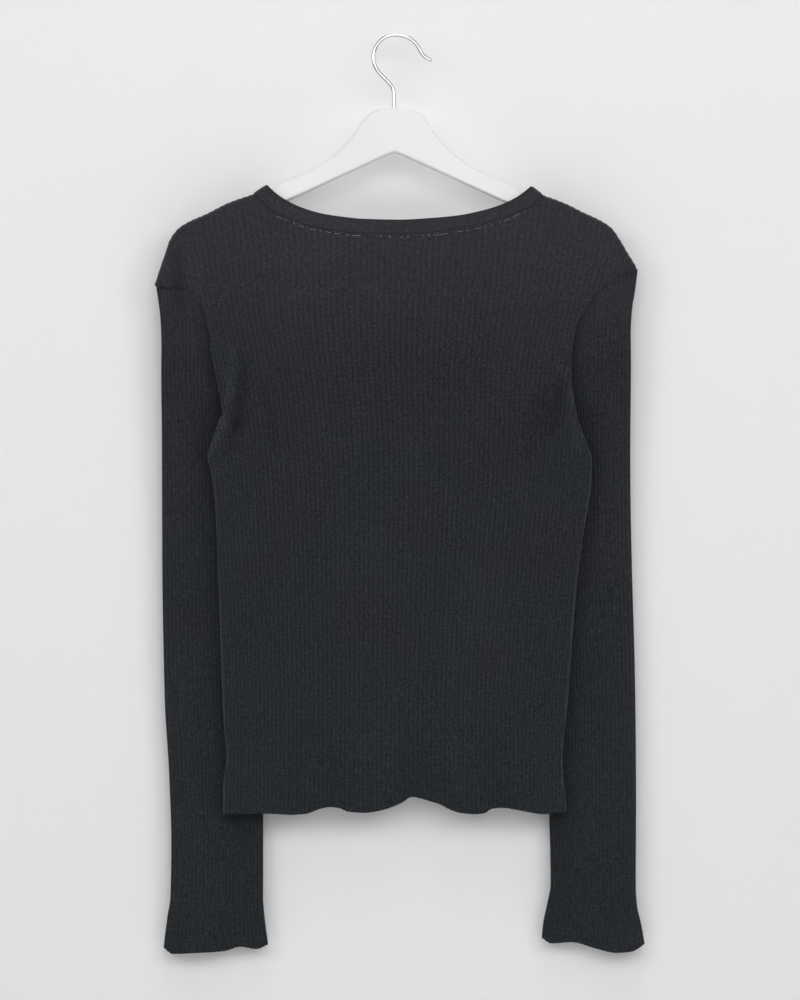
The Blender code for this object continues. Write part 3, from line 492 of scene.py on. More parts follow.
def smooth_object(name: str, mesh: bpy.types.Mesh, finish: bpy.types.Material) -> bpy.types.Object:
    """Make a smooth object with its finish."""
    mesh.shade_smooth()
    mesh.materials.append(finish)
    return new_object(name, mesh)


def strip_faces(first: Sequence[int], second: Sequence[int], first_at: Sequence[float],
                second_at: Sequence[float]) -> list[tuple[int, int, int]]:
    """Triangles between two runs of vertices that are placed at the given parameters."""
    faces = []
    i = j = 0
    while i < len(first) - 1 or j < len(second) - 1:
        next_first = first_at[i + 1] if i < len(first) - 1 else math.inf
        next_second = second_at[j + 1] if j < len(second) - 1 else math.inf
        if next_first <= next_second:
            faces.append((first[i], first[i + 1], second[j]))
            i += 1
        else:
            faces.append((first[i], second[j + 1], second[j]))
            j += 1
    return faces


@dataclass
class ClothGrid:
    """One face of a piece of cloth: points in millimetres, with their ribs and courses."""

    points: Array                       # rows x columns x 3
    at: Array                           # place of each column along the wall
    ribs: Array                         # rows x columns: which rib passes there
    courses: Array                      # rows x columns: millimetres of cloth from the top
    turn: float = 0.0                   # ribs in one full turn of a tube

    def knit(self) -> Array:
        """Knit map of every point: rib and course."""
        return np.stack([self.ribs, self.courses], axis=-1)


@dataclass
class ClothWall:
    """A closed wall between an outer and an inner grid, with the knit's own map."""

    name: str
    outer: ClothGrid
    inner: ClothGrid
    closed: bool = False
    shade: Array | float = 0.0          # painted shade of each outer point; below nought a painted highlight

    def build(self) -> bpy.types.Object:
        """Make the mesh object, with its knit map and how far each point rises on a rib."""
        rows, columns = self.outer.points.shape[:2]
        inner_columns = self.inner.points.shape[1]
        outer_ids = np.arange(rows * columns).reshape(rows, columns)
        inner_ids = rows * columns + np.arange(rows * inner_columns).reshape(rows, inner_columns)
        faces: list[tuple[int, ...]] = []
        maps: list[Array] = []
        for grid, ids, flip in ((self.outer, outer_ids, False), (self.inner, inner_ids, True)):
            quads, quad_maps = self._quads(grid, ids, flip)
            faces += quads
            maps.append(quad_maps)
        rims = self._rims(outer_ids, inner_ids)
        vertex_map = np.concatenate([self.outer.knit().reshape(-1, 2), self.inner.knit().reshape(-1, 2)])
        faces += rims
        maps.append(np.concatenate([vertex_map[list(face)] for face in rims]))
        points = np.concatenate([self.outer.points.reshape(-1, 3), self.inner.points.reshape(-1, 3)])
        mesh = new_mesh(self.name, points, faces)
        layer = mesh.uv_layers.new(name="knit")
        layer.data.foreach_set("uv", np.concatenate(maps).astype(np.float32).ravel())
        lift = 0.5 - 0.5 * np.cos(2 * math.pi * self.outer.ribs)
        # The shade attribute takes the painted shade and highlight to the knit's finish.
        shade = np.broadcast_to(self.shade, (rows, columns))
        for name, values in (("rise", lift), ("shade", shade)):
            attribute = mesh.attributes.new(name, "FLOAT", "POINT")
            attribute.data.foreach_set(
                "value", np.concatenate([values.ravel(), np.zeros(rows * inner_columns)]))
        mesh.shade_smooth()
        mesh.set_sharp_from_angle(angle=SHARP_ANGLE)
        return self._outward(mesh)

    def _quads(self, grid: ClothGrid, ids: Array, flip: bool) -> tuple[list[tuple[int, ...]], Array]:
        """Quads of one face of the cloth, and the knit map of their corners."""
        knit = grid.knit()
        if self.closed:
            ids = np.concatenate([ids, ids[:, :1]], axis=1)
            knit = np.concatenate([knit, knit[:, :1] + np.array([grid.turn, 0.0])], axis=1)
        quads = np.stack([ids[:-1, :-1], ids[:-1, 1:], ids[1:, 1:], ids[1:, :-1]], axis=-1).reshape(-1, 4)
        corners = np.stack([knit[:-1, :-1], knit[:-1, 1:], knit[1:, 1:], knit[1:, :-1]],
                           axis=2).reshape(-1, 4, 2)
        if flip:
            quads, corners = quads[:, ::-1], corners[:, ::-1]
        return [tuple(face) for face in quads.tolist()], corners.reshape(-1, 2)

    def _rims(self, outer_ids: Array, inner_ids: Array) -> list[tuple[int, ...]]:
        """Faces that close the wall along its edges."""
        faces: list[tuple[int, ...]] = []
        for row, flip in ((0, True), (-1, False)):
            first, second = outer_ids[row].tolist(), inner_ids[row].tolist()
            first_at, second_at = self.outer.at.tolist(), self.inner.at.tolist()
            if self.closed:
                first, second = first + first[:1], second + second[:1]
                first_at, second_at = first_at + [1.0], second_at + [1.0]
            for face in strip_faces(first, second, first_at, second_at):
                faces.append(face[::-1] if flip else face)
        if not self.closed:
            for side, flip in ((0, False), (-1, True)):
                for k in range(len(outer_ids) - 1):
                    face = (int(outer_ids[k][side]), int(outer_ids[k + 1][side]),
                            int(inner_ids[k + 1][side]), int(inner_ids[k][side]))
                    faces.append(face[::-1] if flip else face)
        return faces

    def _outward(self, mesh: bpy.types.Mesh) -> bpy.types.Object:
        """Turn the wall's faces outwards and give the object."""
        mesh.calc_loop_triangles()
        corners = np.zeros(len(mesh.loop_triangles) * 3, np.int32)
        mesh.loop_triangles.foreach_get("vertices", corners)
        points = np.zeros(len(mesh.vertices) * 3)
        mesh.vertices.foreach_get("co", points)
        a, b, c = (points.reshape(-1, 3)[corners.reshape(-1, 3)[:, k]] for k in range(3))
        if float((a * np.cross(b, c)).sum()) < 0.0:
            mesh.flip_normals()
        return new_object(self.name, mesh)


def baked(obj: bpy.types.Object) -> bpy.types.Object:
    """Turn a mesh object's modifiers into plain mesh and remove them."""
    depsgraph = bpy.context.evaluated_depsgraph_get()
    mesh = bpy.data.meshes.new_from_object(
        obj.evaluated_get(depsgraph), preserve_all_data_layers=True, depsgraph=depsgraph)
    old = obj.data
    obj.modifiers.clear()
    obj.data = mesh
    bpy.data.meshes.remove(old)
    return obj


# --- node trees for what repeats

class NodeGraph:
    """Short hand for adding nodes to a node tree."""

    def __init__(self, tree: bpy.types.NodeTree) -> None:
        """Work on the given tree."""
        self.nodes, self.links = tree.nodes, tree.links

    def node(self, kind: str, settings: dict[str, object] | None = None,
             inputs: dict[str | int, object] | None = None) -> bpy.types.Node:
        """Add a node.

        Args:
            kind: The node's type.
            settings: Properties to set on it.
            inputs: Values, or sockets to link from, for its inputs.

        Returns:
            The node.
        """
        node = self.nodes.new(kind)
        for key, value in (settings or {}).items():
            setattr(node, key, value)
        for key, value in (inputs or {}).items():
            if isinstance(value, bpy.types.NodeSocket):
                self.links.new(value, node.inputs[key])
            else:
                node.inputs[key].default_value = value
        return node

    def out(self, kind: str, settings: dict[str, object] | None = None,
            inputs: dict[str | int, object] | None = None, socket: str | int = 0) -> bpy.types.NodeSocket:
        """Add a node and give one of its outputs."""
        return self.node(kind, settings, inputs).outputs[socket]


class Tree(NodeGraph):
    """A Geometry Nodes tree with named inputs."""

    def __init__(self, name: str, floats: Sequence[str], wholes: Sequence[str] = ()) -> None:
        """Start a tree that takes and gives geometry, with a finish and the named numbers."""
        self.group = bpy.data.node_groups.new(name, "GeometryNodeTree")
        super().__init__(self.group)
        self.keys: dict[str, str] = {}
        sockets = self.group.interface
        for kind, names in (("Geometry", ["Geometry"]), ("Float", floats), ("Int", wholes),
                            ("Material", ["Finish"])):
            for label in names:
                socket = sockets.new_socket(label, in_out="INPUT", socket_type=f"NodeSocket{kind}")
                self.keys[label] = socket.identifier
        sockets.new_socket("Geometry", in_out="OUTPUT", socket_type="NodeSocketGeometry")
        self.start, self.end = self.nodes.new("NodeGroupInput"), self.nodes.new("NodeGroupOutput")

    def finish(self, geometry: bpy.types.NodeSocket) -> None:
        """End the tree in Realize Instances and Set Material."""
        real = self.out("GeometryNodeRealizeInstances", inputs={"Geometry": geometry})
        done = self.out("GeometryNodeSetMaterial", inputs={
            "Geometry": real, "Material": self.start.outputs["Finish"]})
        self.links.new(done, self.end.inputs[0])

    def apply(self, obj: bpy.types.Object, values: dict[str, object]) -> bpy.types.Object:
        """Run the tree on an object and keep the result as plain mesh."""
        modifier = obj.modifiers.new(self.group.name, "NODES")
        modifier.node_group = self.group
        for name, value in values.items():
            modifier[self.keys[name]] = value
        return baked(obj)


def rib_tree() -> Tree:
    """Tree that lifts the cloth's face along its ribs."""
    tree = Tree("RaiseRibs", ["Rib height"])
    given = tree.start.outputs
    rise = tree.out("GeometryNodeInputNamedAttribute", {"data_type": "FLOAT"}, {"Name": "rise"},
                    "Attribute")
    lift = tree.out("ShaderNodeMath", {"operation": "MULTIPLY"}, {0: rise, 1: given["Rib height"]})
    offset = tree.out("ShaderNodeVectorMath", {"operation": "SCALE"},
                      {0: tree.out("GeometryNodeInputNormal"), "Scale": lift})
    tree.finish(tree.out("GeometryNodeSetPosition", inputs={
        "Geometry": given["Geometry"], "Offset": offset}))
    return tree


def stitch_tree() -> Tree:
    """Tree that sews a run of thread loops along the edges of a mesh line."""
    tree = Tree("SewStitches", ["Stitch step", "Stitch length", "Thread radius", "Share"], ["Seed"])
    given = tree.start.outputs
    line = tree.out("GeometryNodeMeshToCurve", inputs={"Mesh": given["Geometry"]})
    points = tree.node("GeometryNodeCurveToPoints", {"mode": "LENGTH"}, {
        "Curve": line, "Length": given["Stitch step"]})
    keep = tree.out("FunctionNodeRandomValue", {"data_type": "BOOLEAN"}, {
        "Probability": given["Share"], "Seed": given["Seed"]}, 3)
    turn = tree.out("FunctionNodeAlignRotationToVector", {"axis": "X"},
                    {"Vector": points.outputs["Tangent"]})
    thread = tree.out("GeometryNodeMeshUVSphere", inputs={"Segments": 8, "Rings": 5, "Radius": 1.0})
    half = tree.out("ShaderNodeMath", {"operation": "MULTIPLY"}, {0: given["Stitch length"], 1: 0.5})
    size = tree.out("ShaderNodeCombineXYZ", inputs={
        "X": half, "Y": given["Thread radius"], "Z": given["Thread radius"]})
    sewn = tree.out("GeometryNodeInstanceOnPoints", inputs={
        "Points": points.outputs["Points"], "Selection": keep, "Instance": thread, "Rotation": turn,
        "Scale": size})
    tree.finish(tree.out("GeometryNodeSetShadeSmooth", inputs={"Geometry": sewn}))
    return tree


# --- finishes

class Shader(NodeGraph):
    """A material's node tree round one Principled shader."""

    def __init__(self, name: str) -> None:
        """Start a material."""
        self.material = bpy.data.materials.new(name)
        self.material.use_nodes = True
        super().__init__(self.material.node_tree)
        self.surface = self.nodes["Principled BSDF"]

    @cached_property
    def place(self) -> bpy.types.NodeSocket:
        """The object's own coordinates."""
        return self.out("ShaderNodeTexCoord", socket="Object")

    def give(self, name: str, socket: bpy.types.NodeSocket) -> None:
        """Link a socket to one of the shader's inputs."""
        self.links.new(socket, self.surface.inputs[name])

    def emboss(self, height: bpy.types.NodeSocket, strength: float, distance: float) -> None:
        """Bend the surface's normals by a height."""
        self.give("Normal", self.out("ShaderNodeBump", inputs={
            "Strength": strength, "Distance": distance, "Height": height}))

    def ranged(self, value: bpy.types.NodeSocket, low: float, high: float, to_low: float,
               to_high: float) -> bpy.types.NodeSocket:
        """Map a value from one range to another, and hold it there."""
        return self.out("ShaderNodeMapRange", inputs={0: value, 1: low, 2: high, 3: to_low, 4: to_high})

    def total(self, *terms: object) -> bpy.types.NodeSocket:
        """Sum of values or sockets."""
        result = terms[0]
        for term in terms[1:]:
            result = self.math("ADD", result, term)
        return result

    def times(self, value: object, factor: object) -> bpy.types.NodeSocket:
        """Product of two values or sockets."""
        return self.math("MULTIPLY", value, factor)

    def wander(self, noise: bpy.types.NodeSocket, reach: float) -> bpy.types.NodeSocket:
        """Noise that swings `reach` to both sides of nought over its full range."""
        return self.times(self.math("SUBTRACT", noise, 0.5), 2.0 * reach)

    def math(self, operation: str, first: object, second: object = 0.0) -> bpy.types.NodeSocket:
        """Result of one sum on two values or sockets."""
        return self.out("ShaderNodeMath", {"operation": operation}, {0: first, 1: second})

    def mix(self, share: object, first: object, second: object) -> bpy.types.NodeSocket:
        """Mix of two colours."""
        return self.out("ShaderNodeMix", {"data_type": "RGBA"}, {0: share, 6: first, 7: second}, 2)

    def noise(self, vector: bpy.types.NodeSocket, scale: float,
              detail: float = 2.0) -> bpy.types.NodeSocket:
        """Soft noise from 0 to 1."""
        return self.out("ShaderNodeTexNoise", inputs={
            "Vector": vector, "Scale": scale, "Detail": detail})

    def set(self, **values: object) -> None:
        """Set the shader's own sockets, with underscores for spaces."""
        for name, value in values.items():
            self.surface.inputs[name.replace("_", " ")].default_value = value


@dataclass(frozen=True)
class Finish:
    """A material drawn round a Principled shader."""

    name: str

    def build(self) -> bpy.types.Material:
        """Make the material."""
        shader = Shader(self.name)
        self.draw(shader)
        return shader.material

    def draw(self, s: Shader) -> None:
        """Draw the finish."""
        raise NotImplementedError


@dataclass(frozen=True)
class KnitFinish(Finish):
    """Matt rib knit: ribs and loops from the knit's own map, with fibre, painted shade and painted top
    light.
    """

    name: str = "charcoal_rib_knit"
    # The yarn's tone runs from valley to crest: painted shade in the rib valleys, with random tone over it.
    valley: Colour = (0.0090, 0.0097, 0.0115, 1.0)
    crest: Colour = (0.0235, 0.0252, 0.0292, 1.0)
    fibre: Colour = (0.062, 0.066, 0.076, 1.0)
    course: float = 1.35
    ribbed: float = 0.42                # share of the tone that follows the ribs: painted shade in their valleys
    broken: float = 0.66                # share that breaks up along them
    grain_across: float = 1.9
    grain_length: float = 2.3
    looped: float = 0.14
    loop_bend: float = 2.4
    loop_waver: float = 5.0
    mottled: float = 1.15
    mottle_scale: float = 420.0
    clouded: float = 0.25
    cloud_scale: float = 9.0
    fuzz_scale: float = 950.0
    base_tone: float = 0.18
    bump: float = 0.0005
    sheen: float = 0.16
    # Painted light towards the top, as if lit from above: a lighter colour mixed in and a lighter level.
    top_lit_colour: Colour = (0.0275, 0.0280, 0.0312, 1.0)
    top_lit_share: float = 0.9
    wear_and_top_light: float = 0.50                  # painted light: how much lighter the cloth is towards the top
    cooler: float = 0.11                # how much less red it is towards the hem
    bluer: float = 1.04
    uneven: float = 0.11                # how much its red wanders from place to place
    uneven_scale: float = 16.0
    deep: float = 0.62                  # how much darker the painted shade makes a groove or fold

    def draw(self, s: Shader) -> None:
        """Draw the finish."""
        uv = s.out("ShaderNodeUVMap", {"uv_map": "knit"})
        rib, length, _ = s.node("ShaderNodeSeparateXYZ", inputs={0: uv}).outputs
        crest = s.math("SUBTRACT", 0.5, s.times(s.math("COSINE", s.times(rib, 2 * math.pi)), 0.5))
        along = s.out("ShaderNodeCombineXYZ", inputs={
            0: s.times(rib, self.grain_across), 1: s.math("DIVIDE", length, self.grain_length)})
        grain = s.noise(along, 1.0, 3.0)
        loop = s.math("SINE", s.total(s.times(length, 2 * math.pi / self.course),
                                      s.times(crest, self.loop_bend), s.times(grain, self.loop_waver)))
        fuzz = s.noise(s.place, self.fuzz_scale, 2.0)
        height = s.out("ShaderNodeSeparateXYZ", inputs={0: s.place}, socket=2)
        # Painted light: the cloth is lighter towards the top.
        wear_and_top_light = s.ranged(height, -0.30, -0.15, 0.0, self.wear_and_top_light)
        product = {"data_type": "RGBA", "blend_type": "MULTIPLY", "clamp_result": False}
        # Yarn colour times the tint: the knit's own tone with its painted shade and light.
        dye_and_painted_light = s.out("ShaderNodeMix", product, {
            0: 1.0, 6: self._yarn(s, crest, loop, grain, fuzz), 7: self._tint(s, height, wear_and_top_light)}, 2)
        # Near the top it is mixed towards the lighter, painted top-lit colour.
        s.give("Base Color", s.mix(s.times(wear_and_top_light, self.top_lit_share), dye_and_painted_light, self.top_lit_colour))
        relief = s.total(s.times(crest, 0.5), s.times(loop, 0.22), s.times(fuzz, 0.6), s.times(grain, 0.7))
        s.emboss(relief, 0.8, self.bump)
        s.set(Roughness=0.93, Specular_IOR_Level=0.25, Sheen_Weight=self.sheen, Sheen_Roughness=0.45,
              Sheen_Tint=(0.80, 0.86, 1.0, 1.0))

    def _yarn(self, s: Shader, crest: bpy.types.NodeSocket, loop: bpy.types.NodeSocket,
              grain: bpy.types.NodeSocket, fuzz: bpy.types.NodeSocket) -> bpy.types.NodeSocket:
        """Colour of the yarn: painted shade in the rib valleys, loops and blotches, with loose fibres over
        them.
        """
        mottle = s.noise(s.place, self.mottle_scale, 2.0)
        cloud = s.noise(s.place, self.cloud_scale, 3.0)
        tone = s.total(s.times(crest, self.ribbed), s.times(loop, self.looped),
                       s.wander(grain, self.broken), s.wander(mottle, self.mottled),
                       s.wander(cloud, self.clouded), self.base_tone)
        held = s.out("ShaderNodeClamp", inputs={0: tone})
        fleck = s.ranged(fuzz, 0.57, 0.72, 0.0, 0.7)
        return s.mix(fleck, s.mix(held, self.valley, self.crest), self.fibre)

    def _tint(self, s: Shader, height: bpy.types.NodeSocket,
              wear_and_top_light: bpy.types.NodeSocket) -> bpy.types.NodeSocket:
        """Painted light towards the top, painted shade in grooves and folds with painted highlight on
        ridges, and less red towards the hem.
        """
        # Painted shade and highlight, from the mesh's shade attribute.
        groove = s.out("ShaderNodeAttribute", {"attribute_name": "shade"}, socket="Fac")
        level = s.math("SUBTRACT", s.total(wear_and_top_light, 1.0), s.times(groove, self.deep))
        uneven = s.wander(s.noise(s.place, self.uneven_scale, 1.0), self.uneven)
        cooler = s.ranged(height, -0.30, -0.62, 0.0, self.cooler)
        red = s.times(level, s.math("SUBTRACT", s.total(uneven, 1.0), cooler))
        return s.out("ShaderNodeCombineColor", inputs={
            0: red, 1: level, 2: s.times(level, self.bluer)})


@dataclass(frozen=True)
class ThreadFinish(Finish):
    """Sewing thread with a fine twist."""

    colour: Colour
    twist: float = 2600.0

    def draw(self, s: Shader) -> None:
        """Draw the finish."""
        grain = s.noise(s.place, self.twist, 1.0)
        dark = tuple(0.6 * c for c in self.colour[:3]) + (1.0,)
        s.give("Base Color", s.mix(grain, dark, self.colour))
        s.set(Roughness=0.9, Sheen_Weight=0.05)


@dataclass(frozen=True)
class PaintFinish(Finish):
    """Satin white paint on wood, with a faint grain under it and slightly worn, cloudy patches."""

    name: str = "white_paint"
    colour: Colour = (0.80, 0.80, 0.79, 1.0)
    wear_and_top_light: Colour = (0.70, 0.69, 0.66, 1.0)

    def draw(self, s: Shader) -> None:
        """Draw the finish."""
        long = s.out("ShaderNodeMapping", inputs={0: s.place, "Scale": (18.0, 300.0, 300.0)})
        grain = s.noise(long, 1.0, 4.0)
        cloud = s.noise(s.place, 14.0, 2.0)
        s.give("Base Color", s.mix(s.ranged(cloud, 0.45, 0.8, 0.0, 0.35), self.colour, self.wear_and_top_light))
        s.give("Roughness", s.ranged(grain, 0.3, 0.7, 0.34, 0.46))
        s.emboss(grain, 0.12, 0.0002)
        s.set(Coat_Weight=0.25, Coat_Roughness=0.2)


@dataclass(frozen=True)
class ChromeFinish(Finish):
    """Polished chrome on wire, with a fine haze."""

    name: str = "chrome_wire"
    colour: Colour = (0.78, 0.78, 0.80, 1.0)
    hazy: Colour = (0.66, 0.66, 0.69, 1.0)

    def draw(self, s: Shader) -> None:
        """Draw the finish."""
        haze = s.noise(s.place, 420.0, 3.0)
        s.give("Roughness", s.ranged(haze, 0.3, 0.75, 0.10, 0.24))
        s.give("Base Color", s.mix(haze, self.colour, self.hazy))
        s.set(Metallic=1.0)


@dataclass(frozen=True)
class ButtonFinish(Finish):
    """Black moulded button with a soft gloss and a faint haze."""

    name: str = "black_button"
    colour: Colour = (0.012, 0.012, 0.014, 1.0)
    hazy: Colour = (0.028, 0.027, 0.030, 1.0)

    def draw(self, s: Shader) -> None:
        """Draw the finish."""
        haze = s.noise(s.place, 260.0, 3.0)
        s.give("Base Color", s.mix(haze, self.colour, self.hazy))
        s.give("Roughness", s.ranged(haze, 0.3, 0.7, 0.26, 0.40))


@dataclass(frozen=True)
class WallFinish(Finish):
    """Plain pale wall, which can be seen only from its front and lets light in from behind."""

    colour: Colour
    one_sided: bool = False

    def draw(self, s: Shader) -> None:
        """Draw the finish."""
        s.set(Base_Color=self.colour, Roughness=0.95, Specular_IOR_Level=0.1)
        if self.one_sided:
            clear = s.out("ShaderNodeBsdfTransparent")
            behind = s.math("MAXIMUM", s.out("ShaderNodeNewGeometry", socket="Backfacing"),
                            s.out("ShaderNodeLightPath", socket="Is Shadow Ray"))
            both = s.out("ShaderNodeMixShader", inputs={0: behind, 1: s.surface.outputs[0], 2: clear})
            s.links.new(both, s.nodes["Material Output"].inputs["Surface"])


# --- the workroom

@dataclass(frozen=True)
class Stitch:
    """One kind of sewing, in millimetres."""

    step: float
    length: float
    radius: float
    lift: float = 0.0                   # how far the thread stands off the cloth
    share: float = 1.0                  # share of the stitches that show
    seed: int = 1                       # which stitches those are


COVER = Stitch(2.6, 2.1, 0.22, 0.42)
SEAM = Stitch(2.0, 2.1, 0.34, 0.35)
LINK = Stitch(2.7, 2.2, 0.25, 0.42, share=0.48, seed=7)
WORKED = Stitch(1.0, 1.2, 0.28, 0.45)
SHANK = Stitch(0.35, 0.8, 0.26)


@dataclass
class Workroom:
    """Finishes and node trees that the garment's pieces share."""

    knit: bpy.types.Material = field(default_factory=lambda: KnitFinish().build())
    dark_thread: bpy.types.Material = field(
        default_factory=lambda: ThreadFinish("dark_thread", (0.020, 0.0215, 0.025, 1.0)).build())
    pale_thread: bpy.types.Material = field(
        default_factory=lambda: ThreadFinish("pale_thread", (0.36, 0.36, 0.37, 1.0)).build())
    ribs: Tree = field(default_factory=rib_tree)
    stitches: Tree = field(default_factory=stitch_tree)

    def knitted(self, wall: ClothWall, height: float = SIZES.rib_height) -> bpy.types.Object:
        """Build a wall of cloth, raise its ribs and give it the knit's finish."""
        obj = wall.build()
        return self.ribs.apply(obj, {"Rib height": height * MM, "Finish": self.knit})

    def sewn(self, name: str, lines: Sequence[Array], stitch: Stitch,
             thread: bpy.types.Material | None = None) -> bpy.types.Object:
        """Sew stitches along lines.

        Args:
            name: Name of the piece.
            lines: Runs of points in millimetres.
            stitch: The kind of sewing.
            thread: The thread's finish, dark unless it is given.

        Returns:
            One mesh object with all the stitches.
        """
        edges, count = [], 0
        for line in lines:
            edges += [(count + i, count + i + 1) for i in range(len(line) - 1)]
            count += len(line)
        obj = new_object(name, new_mesh(name, np.concatenate(lines), (), edges))
        return self.stitches.apply(obj, {
            "Stitch step": stitch.step * MM, "Stitch length": stitch.length * MM,
            "Thread radius": stitch.radius * MM, "Share": stitch.share, "Seed": stitch.seed,
            "Finish": thread or self.dark_thread})


def placed(obj: bpy.types.Object, slot: str, *nodes: str) -> bpy.types.Object:
    """Make a piece ride on the body, and hide the nodes that it stands for."""
    if nodes:
        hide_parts(*nodes)
    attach(obj, BODY)
    LOG.info("%s: %d faces", obj.name, len(obj.data.polygons))
    return obj


# --- body

def back_top(x: Array) -> Array:
    """Height of the back's upper edge: shoulder, neck, shoulder."""
    corner_left, corner_right = SHOULDER_LEFT[-1], SHOULDER_RIGHT[0]
    neck = across_x(x, (corner_left, *BACK_NECK, corner_right))
    return np.where(x < corner_left.x, across_x(x, SHOULDER_LEFT),
                    np.where(x > corner_right.x, across_x(x, SHOULDER_RIGHT), neck))


def front_top(x: Array) -> Array:
    """Height of a front's upper edge: the neck is a round scoop between the shoulders."""
    left, right = SHOULDER_LEFT[-1], SHOULDER_RIGHT[0]
    reach = np.where(x < 0.0, x / left.x, x / right.x)
    corner = np.where(x < 0.0, left.z, right.z)
    level = SIZES.front_neck_level
    scoop = level + (corner - level) * np.abs(reach) ** SIZES.scoop_power
    shoulder = np.where(x < 0.0, across_x(x, SHOULDER_LEFT), across_x(x, SHOULDER_RIGHT))
    return np.where(reach < 1.0, scoop, shoulder)


def hem_level(x: Array) -> Array:
    """Height of the hem across the body."""
    return across_x(x, HEM_EDGE)


def spread(u: Array, squeeze: Array) -> Array:
    """Across the body, ribs lie closer towards the sides by `squeeze`."""
    n = 2.0 * u - 1.0
    return (n - squeeze * n ** 3 / 3.0) / (1.0 - squeeze / 3.0)


def gentle_line(z: Array, edge_x: Array, tip_x: float) -> Array:
    """A gentler line than the edge for the columns to follow, from the tip to the side."""
    return edge_x + (tip_x - edge_x) * read(-z, LINE_SHARE)


def shares(start: Array, *parts: tuple[float, int]) -> Array:
    """Rising shares: the first ones as given, then parts that end at a share, with so many places."""
    runs = [start]
    for end, count in parts:
        runs.append(np.linspace(runs[-1][-1], end, count)[1:])
    return np.concatenate(runs)


# Rows down a panel, close together over the shoulder's round, and down a sleeve, close at its ends.
BODY_ROWS = shares(0.0115 * np.linspace(0.0, 1.0, 20) ** 1.5, (0.055, 17), (0.36, 52), (1.0, 62))
SLEEVE_ROWS = shares(0.02 * np.linspace(0.0, 1.0, 5), (0.9, 96), (1.0, 22))


@dataclass
class BodyPanel:
    """One flat layer of the body: its face, its wall of cloth and its hem's stitches."""

    name: str
    ribs: int
    room: Workroom
    outward: float = -1.0
    samples: int = 4                    # columns to a rib
    drop: float = 520.0                 # from the middle of the upper edge to the hem

    def place(self, u: Array, v: Array) -> tuple[Array, Array, tuple[Array, ...]]:
        """Where columns and rows lie, and what the depth needs to know of the edges."""
        raise NotImplementedError

    def depth(self, x: Array, z: Array, near: tuple[Array, ...]) -> Array:
        """Middle plane to the face."""
        raise NotImplementedError

    def tone(self, points: Array) -> Array:
        """Painted shade of each point of the face in its folds: none here."""
        return np.zeros(points.shape[:2])

    def face(self, u: Array, v: Array) -> tuple[Array, Array]:
        """Points of the cloth's face and its unit normals."""
        x, z, near = self.place(u, v)
        y = self.outward * (SIZES.gap / 2 + self.depth(x, z, near))
        step = 0.3
        slope_x = (self.depth(x + step, z, near) - self.depth(x - step, z, near)) / (2 * step)
        slope_z = (self.depth(x, z, near) - self.depth(x, z - 2 * step, near)) / (2 * step)
        normal = np.stack([-slope_x, np.full(x.shape, self.outward), -slope_z], axis=-1)
        return np.stack([x, y, z], axis=-1), unit(normal)

    def grid(self, columns: int, inside: float) -> ClothGrid:
        """One face of the wall, `inside` the cloth's face, with so many columns."""
        at = np.linspace(0.0, 1.0, columns)
        points, normals = self.face(*np.meshgrid(at, BODY_ROWS))
        if inside:
            points = points - normals * inside
            points[..., 1] = self.outward * np.maximum(SIZES.gap / 2, self.outward * points[..., 1])
        return ClothGrid(points, at, rib_number(points[..., 0], points[..., 2]), -points[..., 2])

    def build(self, flat: tuple[float, float]) -> bpy.types.Object:
        """Make the panel.

        Args:
            flat: Width and length of the cut, in metres; not used.

        Returns:
            The panel's object.
        """
        outer = self.grid(self.samples * self.ribs + 1, 0.0)
        inner = self.grid(self.ribs + 1, SIZES.cloth)
        wall = ClothWall(f"{self.name}_knit", outer, inner, shade=self.tone(outer.points))
        obj = self.room.knitted(wall)
        stitches = self.hem_stitches()
        placed(obj, "charcoal_knit", self.name)
        placed(stitches, "charcoal_knit")
        self.area()
        return obj

    def area(self) -> float:
        """Flat area of the cut, in square metres, from its outline."""
        u, v = np.meshgrid(np.linspace(0, 1, 60), np.linspace(0, 1, 60))
        x, z, _ = self.place(u, v)
        down_x, down_z = np.diff(x, axis=0)[:, :-1], np.diff(z, axis=0)[:, :-1]
        over_x, over_z = np.diff(x, axis=1)[:-1], np.diff(z, axis=1)[:-1]
        return float(np.abs(over_x * down_z - over_z * down_x).sum()) * MM * MM

    def hem_stitches(self) -> bpy.types.Object:
        """Cover-stitch that holds the hem up."""
        u = np.linspace(0.004, 0.996, 400)
        lines = []
        for depth in SIZES.hem_rows:
            points, normals = self.face(u, np.full(u.shape, 1.0 - depth / self.drop))
            lines.append(points + normals * COVER.lift)
        return self.room.sewn(f"{self.name}_hem_stitches", lines, COVER)


